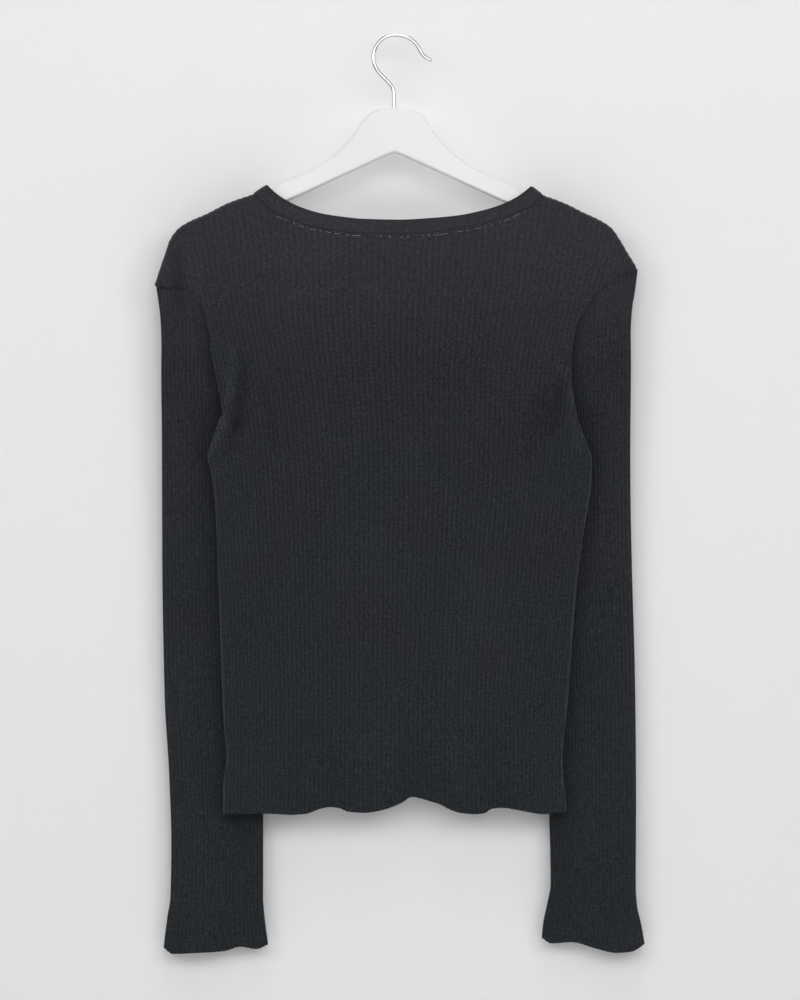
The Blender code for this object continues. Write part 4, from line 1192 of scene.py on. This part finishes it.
@dataclass
class Back(BodyPanel):
    """The back, from side to side."""

    def place(self, u: Array, v: Array) -> tuple[Array, Array, tuple[Array, ...]]:
        """Columns run from the shoulders and the neck to the hem, u from left to right."""
        tip_left, tip_right = BACK_EDGE_LEFT[0], BACK_EDGE_RIGHT[0]
        z_left = tip_left.z + v * (BACK_EDGE_LEFT[-1].z - tip_left.z)
        z_right = tip_right.z + v * (BACK_EDGE_RIGHT[-1].z - tip_right.z)
        left, right = down(z_left, BACK_EDGE_LEFT, "x"), down(z_right, BACK_EDGE_RIGHT, "x")
        line_left = gentle_line(z_left, left, tip_left.x)
        line_right = gentle_line(z_right, right, tip_right.x)
        x = (line_left + line_right) / 2 + (line_right - line_left) / 2 * spread(u, read(v, COLUMN_SQUEEZE))
        x = x + (left - line_left) * np.clip(1.0 - u / SIZES.tip_share, 0.0, 1.0)
        x = x + (right - line_right) * np.clip(1.0 - (1.0 - u) / SIZES.tip_share, 0.0, 1.0)
        top = back_top(tip_left.x + u * (tip_right.x - tip_left.x))
        hem_x = BACK_EDGE_LEFT[-1].x + u * (BACK_EDGE_RIGHT[-1].x - BACK_EDGE_LEFT[-1].x)
        z = top + (hem_level(hem_x) - top) * v
        return x, z, (left, right, down(z_left, BACK_EDGE_LEFT, "depth"),
                      down(z_right, BACK_EDGE_RIGHT, "depth"))

    def depth(self, x: Array, z: Array, near: tuple[Array, ...]) -> Array:
        """Middle plane to the face, rounded off at the sides and the shoulders."""
        left, right, edge_left, edge_right = near
        half_gap = body_half_gap(z)
        depth = half_gap
        for distance, edge in ((x - left, edge_left), (right - x, edge_right)):
            depth = np.minimum(depth, edge + (half_gap - edge) * round_over(distance, SIZES.side_round))
        depth = depth * round_over(crest_distance(x, z), SIZES.crest_round)
        return depth + fold_height(BACK_FOLDS, x, z) * ease(
            (depth - SIZES.fold_start) / SIZES.fold_reach) - trough_depth(x, z)

    def tone(self, points: Array) -> Array:
        """Painted shade in the troughs of the folds and the hem, and painted highlight on their ridges."""
        x, z = points[..., 0], points[..., 2]
        return fold_shade(x, z) + SIZES.trough_contrast * trough_depth(x, z)


@dataclass
class Front(BodyPanel):
    """One front, from the placket to the armhole and the side."""

    side: Side = Side.LEFT
    outward: float = 1.0
    drop: float = SIZES.front_neck_level - SIZES.hem_level

    def __post_init__(self) -> None:
        """Join the armhole's edge to the side that the front shares with the back."""
        armhole, side = ((FRONT_ARMHOLE_LEFT, BACK_EDGE_LEFT) if self.side is Side.LEFT
                         else (FRONT_ARMHOLE_RIGHT, BACK_EDGE_RIGHT))
        self.edge = armhole + tuple(row for row in side if row.z < armhole[-1].z)

    def place(self, u: Array, v: Array) -> tuple[Array, Array, tuple[Array, ...]]:
        """Columns run down from the shoulder and the neck, u from the placket outwards."""
        edge, placket = self.edge, self.side.value * (SIZES.placket_half + SIZES.gap)
        z_edge = edge[0].z + v * (edge[-1].z - edge[0].z)
        outer = down(z_edge, edge, "x")
        line = gentle_line(z_edge, outer, edge[0].x)
        x = placket + (line - placket) * (u + 0.5 * read(v, COLUMN_SQUEEZE) * u * (1.0 - u))
        x = x + (outer - line) * np.clip(1.0 - (1.0 - u) / (2 * SIZES.tip_share), 0.0, 1.0)
        top = front_top(placket + (edge[0].x - placket) * u)
        hem_x = placket + (edge[-1].x - placket) * u
        z = top + (hem_level(hem_x) - top) * v
        return x, z, (outer, down(z_edge, edge, "depth"))

    def depth(self, x: Array, z: Array, near: tuple[Array, ...]) -> Array:
        """Middle plane to the face."""
        outer, edge_depth = near
        half_gap = body_half_gap(z)
        inside = self.side.value * (outer - x)
        depth = edge_depth + (half_gap - edge_depth) * round_over(inside, SIZES.side_round)
        depth = depth * round_over(crest_distance(x, z), SIZES.crest_round)
        return depth + SIZES.front_trough * trough_depth(x, z)


# --- sleeves

@dataclass
class Sleeve:
    """One sleeve: a flattened tube that leaves the body along a slanted seam."""

    name: str
    room: Workroom
    side: Side
    back_edge: Sequence[Edge]
    front_edge: Sequence[Edge]
    widths: Sequence[Width]
    depths: Sequence[Depth]
    cuff: Sequence[HemLevel]
    retreat: tuple[float, float]        # where across the sleeve its back layer goes in
    clear: float = 0.7                  # how far the hidden seam keeps off the front's armhole
    underarm: float = -354.0
    open_level: float = -248.5          # below this the back's fold hangs over the seam
    longer: float = 3.0                 # how far the cuff hangs below the measured edge
    fuller: float = 1.9                 # how much wider the outer fold is than the measured outline
    # How far the painted shade beside the back's fold reaches across the sleeve.
    groove_width: float = 9.0
    fold_end: float = -250.0            # below this the back's painted fold shade and highlight leave the sleeve alone
    seam_reach: float = 24.0            # how far the seam takes to pass behind the back's fold
    fuller_reach: float = 90.0
    slack_start: float = 0.4            # where across the sleeve its slack begins
    tip_reach: float = 0.12
    turn_share: float = 1.15            # how much more than its thickness the cloth takes at a fold
    thinnest: float = 0.4
    wave: float = 2.5                   # the cuff's soft waves, from front to back
    waves: float = 1.6
    wave_turn: float = 0.1
    wave_level: float = -740.0
    wave_reach: float = 80.0
    drop: float = 560.0                 # from the seam to the cuff
    flat: tuple[float, float] = (2.08 * SIZES.sleeve_width * MM, 0.612)
    cap_share: float = 0.9              # share of its flat rectangle that the sleeve's cut fills
    samples: int = 4                    # columns to a rib

    def __post_init__(self) -> None:
        """Work out how far across the sleeve each point of its seam lies."""
        across = np.linspace(0.0, 1.0, 801)
        top = self.back_edge[0].z
        self.cap_z = top + (self.underarm - top) * np.linspace(0.0, 1.0, 160) ** 1.6
        shown = down(self.cap_z, self.back_edge, "x")
        hidden = down(self.cap_z, self.front_edge, "x") + self.side.value * self.clear
        seam = shown + (hidden - shown) * ease((self.open_level - self.cap_z) / self.seam_reach)
        self.cap_across = np.array([
            float(np.interp(abs(x - self._fold(z)), np.abs(self.x_at(across, z) - self._fold(z)), across))
            for x, z in zip(seam, self.cap_z)])
        across = (1.0 - np.cos(np.linspace(0.0, math.pi, 721))) / 2.0
        steps = np.hypot(np.diff(across * SIZES.sleeve_width),
                         np.diff(self.profile(across) * SIZES.sleeve_depth / 2))
        length = np.concatenate([[0.0], np.cumsum(steps)])
        self.section = (length / length[-1] / 2.0, across)

    def _fold(self, z: float) -> float:
        """Place of the outer fold at one height."""
        return float(self.x_at(np.array(0.0), np.array(z)))

    def profile(self, across: Array) -> Array:
        """Fullness of the flattened section across the sleeve."""
        power = SIZES.section_power
        return np.clip(1.0 - np.abs(2 * across - 1) ** power, 0, 1) ** (1 / power)

    def x_at(self, across: Array, z: Array) -> Array:
        """Place a line of the cloth: the hidden inner part takes up the slack."""
        below = self.back_edge[0].z - np.asarray(z, float)
        wider = self.side.value * self.fuller * ease(below / self.fuller_reach)
        outer, inner = down(z, self.widths, "outer") + wider, down(z, self.widths, "inner")
        slack = SIZES.sleeve_width - np.abs(inner - outer)
        return outer + np.sign(inner - outer) * (
            across * SIZES.sleeve_width
            - slack * ease((across - self.slack_start) / (1.0 - self.slack_start)))

    def surface(self, u: Array, v: Array, inside: float = 0.0) -> Array:
        """Face of the cloth, or a face `inside` it.

        Args:
            u: Share of the way round, from the outer fold over the back.
            v: Share of the way down.
            inside: Millimetres inside the cloth's face.

        Returns:
            Points in millimetres.
        """
        u = np.mod(u, 1.0)
        across = np.interp(np.where(u <= 0.5, u, 1.0 - u), *self.section)
        back = np.where(u <= 0.5, -1.0, 1.0)
        start = np.interp(across, self.cap_across, self.cap_z) - SIZES.gap
        start = start + SIZES.tip_lap * np.exp(-(across / self.tip_reach) ** 2)
        end = smooth_interp(across, column(self.cuff, "across"), column(self.cuff, "z")) - self.longer
        z = start + (end - start) * v
        x = self.x_at(across, z)
        inwards = ease((across - self.retreat[0]) / (self.retreat[1] - self.retreat[0]))
        outer_back = down(z, self.depths, "outer_back")
        back_face = outer_back + (down(z, self.depths, "inner_back") - outer_back) * inwards
        front_face = down(z, self.depths, "front")
        middle, half = (back_face + front_face) / 2, (front_face - back_face) / 2
        folds = (down(z, self.widths, "outer") + down(z, self.widths, "inner")) / 2
        x = folds + (x - folds) * (1.0 - 2.0 * inside / SIZES.sleeve_width * self.turn_share)
        half = np.maximum(half - inside, self.thinnest)
        wave = self.wave * ease((self.wave_level - z) / self.wave_reach) * np.sin(
            2 * math.pi * (self.waves * across + self.wave_turn))
        return np.stack([x, middle + back * half * self.profile(across) + wave, z], axis=-1)

    def grid(self, columns: int, inside: float) -> ClothGrid:
        """One face of the tube's wall."""
        at = np.arange(columns) / columns
        points = self.surface(*np.meshgrid(at, SLEEVE_ROWS), inside)
        ribs = np.broadcast_to(SIZES.sleeve_ribs * at, points.shape[:2])
        return ClothGrid(points, at, ribs, -points[..., 2], float(SIZES.sleeve_ribs))

    def build(self) -> bpy.types.Object:
        """Make the sleeve and its cuff's stitches."""
        ribs = SIZES.sleeve_ribs
        outer, inner = self.grid(self.samples * ribs, 0.0), self.grid(ribs, SIZES.cloth)
        wall = ClothWall(f"{self.name}_knit", outer, inner, closed=True, shade=self.groove(outer.points))
        obj = self.room.knitted(wall)
        stitches = self.cuff_stitches()
        placed(obj, "charcoal_knit", self.name)
        placed(stitches, "charcoal_knit")
        return obj

    def groove(self, points: Array) -> Array:
        """Painted shade of each point: darker in the groove beside the body's fold, with the back's painted
        fold shade and highlight near the top.
        """
        x, z = points[..., 0], points[..., 2]
        beside = self.side.value * (x - down(z, self.back_edge, "x"))
        fade = np.exp(-(np.clip(beside - 1.0, 0.0, None) / self.groove_width) ** 2)
        return read(-z, GROOVE_SHADE) * fade + np.where(z > self.fold_end, fold_shade(x, z), 0.0)

    def cuff_stitches(self) -> bpy.types.Object:
        """Cover-stitch round the cuff."""
        u = np.linspace(0.0, 1.0, 500)
        lines = []
        for depth in SIZES.hem_rows:
            v = np.full(u.shape, 1.0 - depth / self.drop)
            points = self.surface(u, v)
            lines.append(points + unit(points - self.surface(u, v, 1.0)) * COVER.lift)
        return self.room.sewn(f"{self.name}_cuff_stitches", lines, COVER)


# --- neckband and front bands

@dataclass
class Neckband:
    """Double band round the neck, from one front band over the back to the other."""

    room: Workroom
    counts: tuple[int, int, int] = (150, 330, 150)
    rows: int = 15
    rib_step: float = 1.6
    rib_height: float = 0.04
    width: float = 14.0
    flat_width: float = 0.0145
    edge_share: float = 0.45            # how proud the band still is at its edges
    edge_power: int = 6
    # Painted shade across the band: darker at the seam and the free edge; paler all over, partly its
    # flatter knit and partly painted light where it faces up.
    paler: float = 0.42
    seam_shade: float = 1.6
    seam_reach: float = 0.09
    edge_shade: float = 0.88
    edge_reach: float = 0.12
    seam_rise: float = 0.1
    link_drop: float = 1.7              # how far below the seam the linking thread shows
    link_swing: float = 0.5
    link_drift: float = 0.16
    link_ends: tuple[int, int] = (25, 27)

    def runs(self) -> tuple[Array, Array]:
        """Seam and free edge of the band, as runs from the right front round to the left."""
        left, right = SHOULDER_LEFT[-1], SHOULDER_RIGHT[0]
        seam, edge = [], []
        for corner, peak in ((left, NECK_EDGE[0]), (right, NECK_EDGE[-1])):
            ratio = np.linspace(1.0, (SIZES.placket_half + SIZES.gap) / abs(corner.x), 200)
            seam.append(self._lift(corner.x * ratio, front_top(corner.x * ratio), corner))
            ratio = np.linspace(1.0, (SIZES.placket_half + SIZES.gap) / abs(peak.x), 200)
            level = SIZES.neck_edge_level
            z = level + (peak.z - level) * ratio ** SIZES.scoop_power
            edge.append(self._lift(peak.x * ratio, z, peak))
        for points, out in (((left, *BACK_NECK, right), seam), (NECK_EDGE, edge)):
            x = np.linspace(points[0].x, points[-1].x, 600)
            z = across_x(x, points)
            ends = np.minimum(np.hypot(x - x[0], z - z[0]), np.hypot(x - x[-1], z - z[-1]))
            y = -SIZES.gap / 2 - body_half_gap(z) * round_over(ends, SIZES.band_round)
            out.insert(1, np.stack([x, y, z], axis=-1))
        joined = tuple(
            np.concatenate([resample(run[0][::-1], self.counts[0]), resample(run[1], self.counts[1])[1:-1],
                            resample(run[2], self.counts[2])]) for run in (seam, edge))
        return joined[0], joined[1]

    def tone(self, across: Array) -> Array:
        """Painted shade across the band: dark at the seam and the free edge; lighter in the middle, partly
        its flatter knit and partly painted light.
        """
        seam = self.seam_shade * np.exp(-(across / self.seam_reach) ** 2)
        edge = self.edge_shade * np.exp(-((1.0 - across) / self.edge_reach) ** 2)
        return (seam + edge - self.paler)[:, None] * np.ones(sum(self.counts) - 2)

    def _link_line(self, seam: Array, upwards: Array, normal: Array) -> Array:
        """Line of the linking thread over the back: it wanders a little below the seam."""
        drift = np.cumsum(np.random.default_rng(5).normal(0.0, self.link_drift, len(seam)))[:, None]
        below = seam - upwards * (self.link_drop + self.link_swing * np.sin(drift))
        first, last = self.counts[0], self.counts[0] + self.counts[1]
        return (below + normal * LINK.lift)[first + self.link_ends[0]:last - self.link_ends[1]]

    def _lift(self, x: Array, z: Array, corner: Point) -> Array:
        """Stand a line off the middle plane, rounded over at its corner."""
        near = round_over(np.hypot(x - corner.x, z - corner.z), SIZES.band_round)
        return np.stack([x, SIZES.gap / 2 + body_half_gap(z) * near, z], axis=-1)

    def build(self) -> bpy.types.Object:
        """Make the band, its ridge of ribs along it and its seam's stitches."""
        seam, edge = self.runs()
        along = unit(np.gradient(seam, axis=0))
        upwards = edge - seam
        upwards = unit(upwards - along * np.sum(upwards * along, axis=1, keepdims=True))
        start = seam + upwards * SIZES.neck_seam
        across = np.linspace(0.0, 1.0, self.rows)
        grid = np.stack([start + (edge - start) * t for t in across])
        normal = unit(np.cross(np.gradient(grid, axis=1), np.broadcast_to(edge - seam, grid.shape)))
        middle = (1.0 - np.abs(2 * across - 1.0) ** self.edge_power)[:, None, None]
        proud = SIZES.band_proud * (self.edge_share + (1.0 - self.edge_share) * middle)
        length = np.concatenate([[0.0], np.cumsum(np.linalg.norm(np.diff(seam, axis=0), axis=1))])
        at = length / length[-1]
        ribs = np.broadcast_to(length / self.rib_step, grid.shape[:2])
        courses = np.broadcast_to(self.width * across[:, None], grid.shape[:2])
        outer = ClothGrid(grid + normal * proud, at, ribs, courses)
        inner = ClothGrid(grid - normal * (SIZES.band_cloth - SIZES.band_proud), at, ribs, courses)
        wall = ClothWall("neckband_knit", outer, inner, shade=self.tone(across))
        obj = self.room.knitted(wall, self.rib_height)
        line = seam + upwards * self.seam_rise + normal[0] * SEAM.lift
        stitches = self.room.sewn("neckband_stitches", [line], SEAM)
        flecks = self.room.sewn("neckband_link_stitches", [self._link_line(seam, upwards, normal[0])],
                                LINK, self.room.pale_thread)
        placed(obj, "charcoal_knit", "neckband")
        for piece in (stitches, flecks):
            placed(piece, "charcoal_knit")
        return obj


@dataclass
class FrontBands:
    """Button band and the buttonhole band over it, with worked holes."""

    room: Workroom
    levels: tuple[float, ...]
    samples: int = 6
    ribs: int = 5
    rib_height: float = 0.35
    flat: tuple[float, float] = (0.0222, 0.468)
    hole_half: tuple[float, float] = (1.1, 8.0)

    def face(self, x: Array, z: Array) -> Array:
        """Outer face of the fronts at the middle of the body."""
        return SIZES.gap / 2 + body_half_gap(z) + SIZES.front_trough * trough_depth(x, z)

    def points(self, u: Array, v: Array, lift: float) -> Array:
        """Face of a band that lies `lift` above the fronts."""
        x = SIZES.placket_half * (2.0 * u - 1.0)
        z = SIZES.neck_edge_level + (hem_level(x) - SIZES.neck_edge_level) * v
        return np.stack([x, self.face(x, z) + lift, z], axis=-1)

    def build(self) -> None:
        """Make both bands and the buttonholes' stitches."""
        at = np.linspace(0.0, 1.0, self.ribs * self.samples + 1)
        u, v = np.meshgrid(at, np.linspace(0.0, 1.0, 120))
        for name, lift in (("button_band", 0.0), ("buttonhole_band", SIZES.cloth + SIZES.gap)):
            outer = self.points(u, v, lift)
            inner = self.points(u, v, lift - SIZES.cloth)
            courses = -outer[..., 2]
            wall = ClothWall(f"{name}_knit", ClothGrid(outer, at, self.ribs * u, courses),
                             ClothGrid(inner, at, self.ribs * u, courses))
            obj = placed(self.room.knitted(wall, self.rib_height), "charcoal_knit", name)
            pieces = [self.holes()] if lift else []

    def holes(self) -> bpy.types.Object:
        """Worked buttonholes: a ring of thread round each slit."""
        turn = np.linspace(0.0, 2 * math.pi, 60)
        lines = []
        for level in self.levels:
            x, z = self.hole_half[0] * np.sin(turn), level + self.hole_half[1] * np.cos(turn)
            lift = self.face(x, z) + SIZES.cloth + SIZES.gap + WORKED.lift
            lines.append(np.stack([x, lift, z], axis=-1))
        return placed(self.room.sewn("buttonhole_stitches", lines, WORKED), "charcoal_knit")


@dataclass
class Buttons:
    """Turned four-hole buttons with their thread."""

    bands: FrontBands
    finish: bpy.types.Material
    radius: float = 5.75
    thickness: float = 2.4
    hole_reach: float = 1.25
    hole_radius: float = 0.55
    dish: float = 0.85                  # how deep its middle lies
    hub: float = 2.2                    # radius of the pierced middle
    sides: int = 48
    hole_sides: int = 12
    thread_bow: float = 0.32

    def build(self) -> None:
        """Make every button and its thread."""
        for number, level in enumerate(self.bands.levels, start=1):
            beside = self.bands.face(np.array([-6.0, 0.0, 6.0] * 3), level + np.repeat([-6.0, 0.0, 6.0], 3))
            back = float(np.max(beside)) + SIZES.cloth + 2 * SIZES.gap
            placed(self._turned(f"button_{number}_turned", back, level), "black_button", f"button_{number}")
            placed(self._thread(f"button_{number}_thread", back, level), "charcoal_knit")

    def _profile(self) -> list[tuple[float, float]]:
        """Radius and height of the turned face, from the middle of the dish to the back."""
        r, t = self.radius, self.thickness
        return [(self.hub, t - self.dish), (r - 2.2, t - 0.8), (r - 1.6, t - 0.45), (r - 1.2, t - 0.12),
                (r - 0.8, t), (r - 0.4, t - 0.1), (r - 0.1, t - 0.5), (r, 1.2), (r - 0.2, 0.6),
                (r - 0.8, 0.0), (self.hub, 0.0)]

    @staticmethod
    def _ring(bm: bmesh.types.BMesh, centre: tuple[float, float, float], radius: float,
              sides: int) -> list[bmesh.types.BMVert]:
        """Ring of points round a place."""
        x, y, z = centre
        return [bm.verts.new(((x + radius * math.cos(a)) * MM, y * MM, (z + radius * math.sin(a)) * MM))
                for a in np.arange(sides) * 2 * math.pi / sides]

    @staticmethod
    def _edges(ring: Sequence[bmesh.types.BMVert]) -> list[tuple[bmesh.types.BMVert, bmesh.types.BMVert]]:
        """Neighbours in a ring."""
        return list(zip(ring, (*ring[1:], ring[0])))

    def _bridge(self, bm: bmesh.types.BMesh, first: Sequence[bmesh.types.BMVert],
                second: Sequence[bmesh.types.BMVert]) -> None:
        """Faces between two rings."""
        for (a, b), (d, c) in zip(self._edges(first), self._edges(second)):
            bm.faces.new((a, b, c, d))

    def _turned(self, name: str, back: float, level: float) -> bpy.types.Object:
        """Turned ring with a pierced middle."""
        bm = bmesh.new()
        rings = [self._ring(bm, (0.0, back + h, level), r, self.sides) for r, h in self._profile()]
        for first, second in zip(rings[:-1], rings[1:]):
            self._bridge(bm, first, second)
        fronts, backs = [rings[0]], [rings[-1]]
        for k in range(4):
            turn = math.pi / 4 + k * math.pi / 2
            x, z = self.hole_reach * math.cos(turn), level + self.hole_reach * math.sin(turn)
            pair = [self._ring(bm, (x, back + h, z), self.hole_radius, self.hole_sides)
                    for h in (self.thickness - self.dish, 0.0)]
            self._bridge(bm, *pair)
            fronts.append(pair[0])
            backs.append(pair[1])
        for loops in (fronts, backs):
            edges = [bm.edges.get(pair) for ring in loops for pair in self._edges(ring)]
            bmesh.ops.triangle_fill(bm, use_beauty=True, edges=edges)
        bmesh.ops.recalc_face_normals(bm, faces=bm.faces)
        mesh = bpy.data.meshes.new(name)
        bm.to_mesh(mesh)
        bm.free()
        return smooth_object(name, mesh, self.finish)

    def _thread(self, name: str, back: float, level: float) -> bpy.types.Object:
        """Two crossed bars of thread in the dish."""
        reach, top = self.hole_reach * math.cos(math.pi / 4), back + self.thickness - self.dish
        lines = []
        for sign in (-1.0, 1.0):
            t = np.linspace(-1.0, 1.0, 17)
            lift = self.thread_bow * (1.0 - t ** 4) + 0.05 + 0.2 * (sign > 0)
            lines.append(np.stack([reach * t, top + lift, level + sign * reach * t], axis=-1))
        return self.bands.room.sewn(name, lines, SHANK)


# --- hanger and hook

@dataclass
class Hanger:
    """Flat wishbone hanger with eased edges."""

    middle: float = -1.0
    thickness: float = 11.0
    edge: float = 2.5

    def outline(self) -> Array:
        """Closed outline of the hanger, smooth except at its lower apex."""
        half = np.array([(p.x, p.z) for p in HANGER_OUTLINE])
        top = catmull(np.concatenate([[[-half[1][0], half[1][1]]], half[:-2]]), 5)[5:]
        right = np.concatenate([top, half[-2:]])
        left = right[-2:0:-1] * np.array([-1.0, 1.0])
        return np.concatenate([right, left]) + np.array([self.middle, 0.0])

    def build(self, finish: bpy.types.Material) -> None:
        """Make the hanger."""
        outline = self.outline()
        count, half = len(outline), self.thickness / 2
        points = [(x, y, z) for y in (-half, half) for x, z in outline]
        faces = [tuple(range(count)), tuple(range(2 * count - 1, count - 1, -1))]
        faces += [(i, i + count, (i + 1) % count + count, (i + 1) % count) for i in range(count)]
        obj = smooth_object("hanger_painted", new_mesh("hanger_painted", points, faces), finish)
        bevel = obj.modifiers.new("eased", "BEVEL")
        bevel.width, bevel.segments = self.edge * MM, 5
        bevel.limit_method, bevel.angle_limit = "ANGLE", math.radians(60)
        normals = obj.modifiers.new("flat_faces", "WEIGHTED_NORMAL")
        normals.keep_sharp = False
        placed(baked(obj), "white_paint", "hanger")


@dataclass
class Hook:
    """Chrome wire hook with a rounded tip."""

    radius: float = 1.8
    sides: int = 24

    def build(self, finish: bpy.types.Material) -> None:
        """Make the hook as a smooth tube."""
        route = catmull(np.array([(p.x, 0.0, p.z) for p in HOOK_ROUTE]), 8)
        tangent = unit(np.gradient(route, axis=0))
        side = np.cross(tangent, [0.0, 1.0, 0.0])
        caps = np.sin(np.linspace(0.0, math.pi / 2, 7))
        ends = [(route[-1] + tangent[-1] * self.radius * 0.9 * s, math.sqrt(max(1 - s * s, 1e-4)))
                for s in caps[1:]]
        route = np.concatenate([route, [point for point, _ in ends]])
        sizes = np.concatenate([np.ones(len(side)), [size for _, size in ends]]) * self.radius
        side = np.concatenate([side, np.repeat(side[-1:], len(ends), axis=0)])
        turn = np.arange(self.sides) * 2 * math.pi / self.sides
        turned = (np.cos(turn)[None, :, None] * side[:, None]
                  + np.sin(turn)[None, :, None] * np.array([0.0, 1.0, 0.0]))
        rings = route[:, None] + sizes[:, None, None] * turned
        faces = []
        for i in range(0, (len(rings) - 1) * self.sides, self.sides):
            for j in range(self.sides):
                k = (j + 1) % self.sides
                faces.append((i + j, i + k, i + self.sides + k, i + self.sides + j))
        last = (len(rings) - 1) * self.sides
        faces += [tuple(range(self.sides))[::-1], tuple(range(last, last + self.sides))]
        mesh = new_mesh("hook_wire", rings.reshape(-1, 3), faces)
        placed(smooth_object("hook_wire", mesh, finish), "chrome_wire", "hook")


# --- the room and the camera

class Light(NamedTuple):
    """A soft round light: its place and size in metres, and its watts."""

    name: str
    place: tuple[float, float, float]
    size: float
    power: float


LIGHTS = table(
    Light, ("key_light", (0.05, -2.3, 0.4), 1.7, 18.6), ("left_light", (-1.35, -1.9, 0.4), 1.1, 9.8),
    ("right_light", (1.35, -1.9, 0.4), 1.1, 9.4), ("fill_light", (0.5, 2.4, 0.3), 1.8, 40.0),
    ("top_light", (0.05, -1.0, 1.8), 1.4, 12.6),
)


@dataclass
class Studio:
    """Plain pale wall and floor, soft lights and the camera."""

    scale: float = 0.9                  # millimetres to the picture's pixel
    distance: float = 3000.0
    middle: tuple[float, float] = (3.6, -417.6)
    plane: float = -7.0
    wall_y: float = 30.0
    floor_z: float = -1150.0
    reach: float = 3000.0               # half the width of the wall and the floor
    top: float = 2000.0
    film: float = 36.0
    aim: tuple[float, float, float] = (0.0, 0.0, -0.38)
    sky: Colour = (0.95, 0.97, 1.0, 1.0)
    sky_strength: float = 0.165

    def build(self) -> None:
        """Make the camera, the lights and the stage."""
        self._camera()
        self._stage()
        for light in LIGHTS:
            self._light(light)
        world = bpy.data.worlds.new("pale_room")
        world.use_nodes = True
        background = world.node_tree.nodes["Background"]
        background.inputs[0].default_value = self.sky
        background.inputs[1].default_value = self.sky_strength
        bpy.context.scene.world = world
        bpy.context.scene.view_settings.view_transform = "Standard"

    def _camera(self) -> None:
        """Camera square to the wall, at the photograph's scale."""
        camera = bpy.data.cameras.new("camera")
        camera.sensor_fit = "VERTICAL"
        camera.sensor_height = self.film
        camera.lens = self.film * self.distance / (1000 * self.scale)
        obj = new_object("camera", camera)
        obj.location = (self.middle[0] * MM, (self.plane - self.distance) * MM, self.middle[1] * MM)
        obj.rotation_euler = (math.pi / 2, 0.0, 0.0)
        bpy.context.scene.camera = obj

    def _stage(self) -> None:
        """Wall behind the garment and floor below it."""
        wall = WallFinish("pale_wall", (0.86, 0.86, 0.855, 1.0), one_sided=True).build()
        floor = WallFinish("pale_floor", (0.80, 0.80, 0.79, 1.0)).build()
        r, y, z, top = self.reach, self.wall_y, self.floor_z, self.top
        self._sheet("wall", [(-r, y, z), (r, y, z), (r, y, top), (-r, y, top)], wall)
        self._sheet("floor", [(-r, -r, z), (r, -r, z), (r, r, z), (-r, r, z)], floor)

    def _sheet(self, name: str, corners: list[tuple[float, float, float]],
               finish: bpy.types.Material) -> None:
        """One flat piece of the stage."""
        mesh = new_mesh(name, corners, [(0, 1, 2, 3)])
        mesh.materials.append(finish)
        new_object(name, mesh)

    def _light(self, light: Light) -> None:
        """One large soft light that looks at the garment."""
        data = bpy.data.lights.new(light.name, "AREA")
        data.shape, data.size, data.energy = "DISK", light.size, light.power
        obj = new_object(light.name, data)
        obj.location = light.place
        aim = Vector(self.aim) - Vector(light.place)
        obj.rotation_euler = aim.to_track_quat("-Z", "Y").to_euler()


def main() -> None:
    """Build every piece in order."""
    logging.basicConfig(level=logging.INFO, format="%(name)s %(message)s")
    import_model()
    Studio().build()
    room = Workroom()
    Back("back", SIZES.body_ribs, room).build(flat=(0.436, 0.560))
    Front("front_left", SIZES.front_ribs, room, side=Side.LEFT).build(flat=(0.212, 0.560))
    Front("front_right", SIZES.front_ribs, room, side=Side.RIGHT).build(flat=(0.212, 0.560))
    Sleeve("sleeve_left", room, Side.LEFT, BACK_EDGE_LEFT, FRONT_ARMHOLE_LEFT, WIDTH_LEFT, DEPTH_LEFT,
           CUFF_LEFT, (0.2, 0.45)).build()
    Sleeve("sleeve_right", room, Side.RIGHT, BACK_EDGE_RIGHT, FRONT_ARMHOLE_RIGHT, WIDTH_RIGHT,
           DEPTH_RIGHT, CUFF_RIGHT, (0.12, 0.45), open_level=-266.0, longer=2.6).build()
    Neckband(room).build()
    bands = FrontBands(room, tuple(FIRST_BUTTON - BUTTON_STEP * i for i in range(BUTTON_COUNT)))
    bands.build()
    Buttons(bands, ButtonFinish().build()).build()
    Hanger().build(PaintFinish().build())
    Hook().build(ChromeFinish().build())


if __name__ == "__main__":
    main()
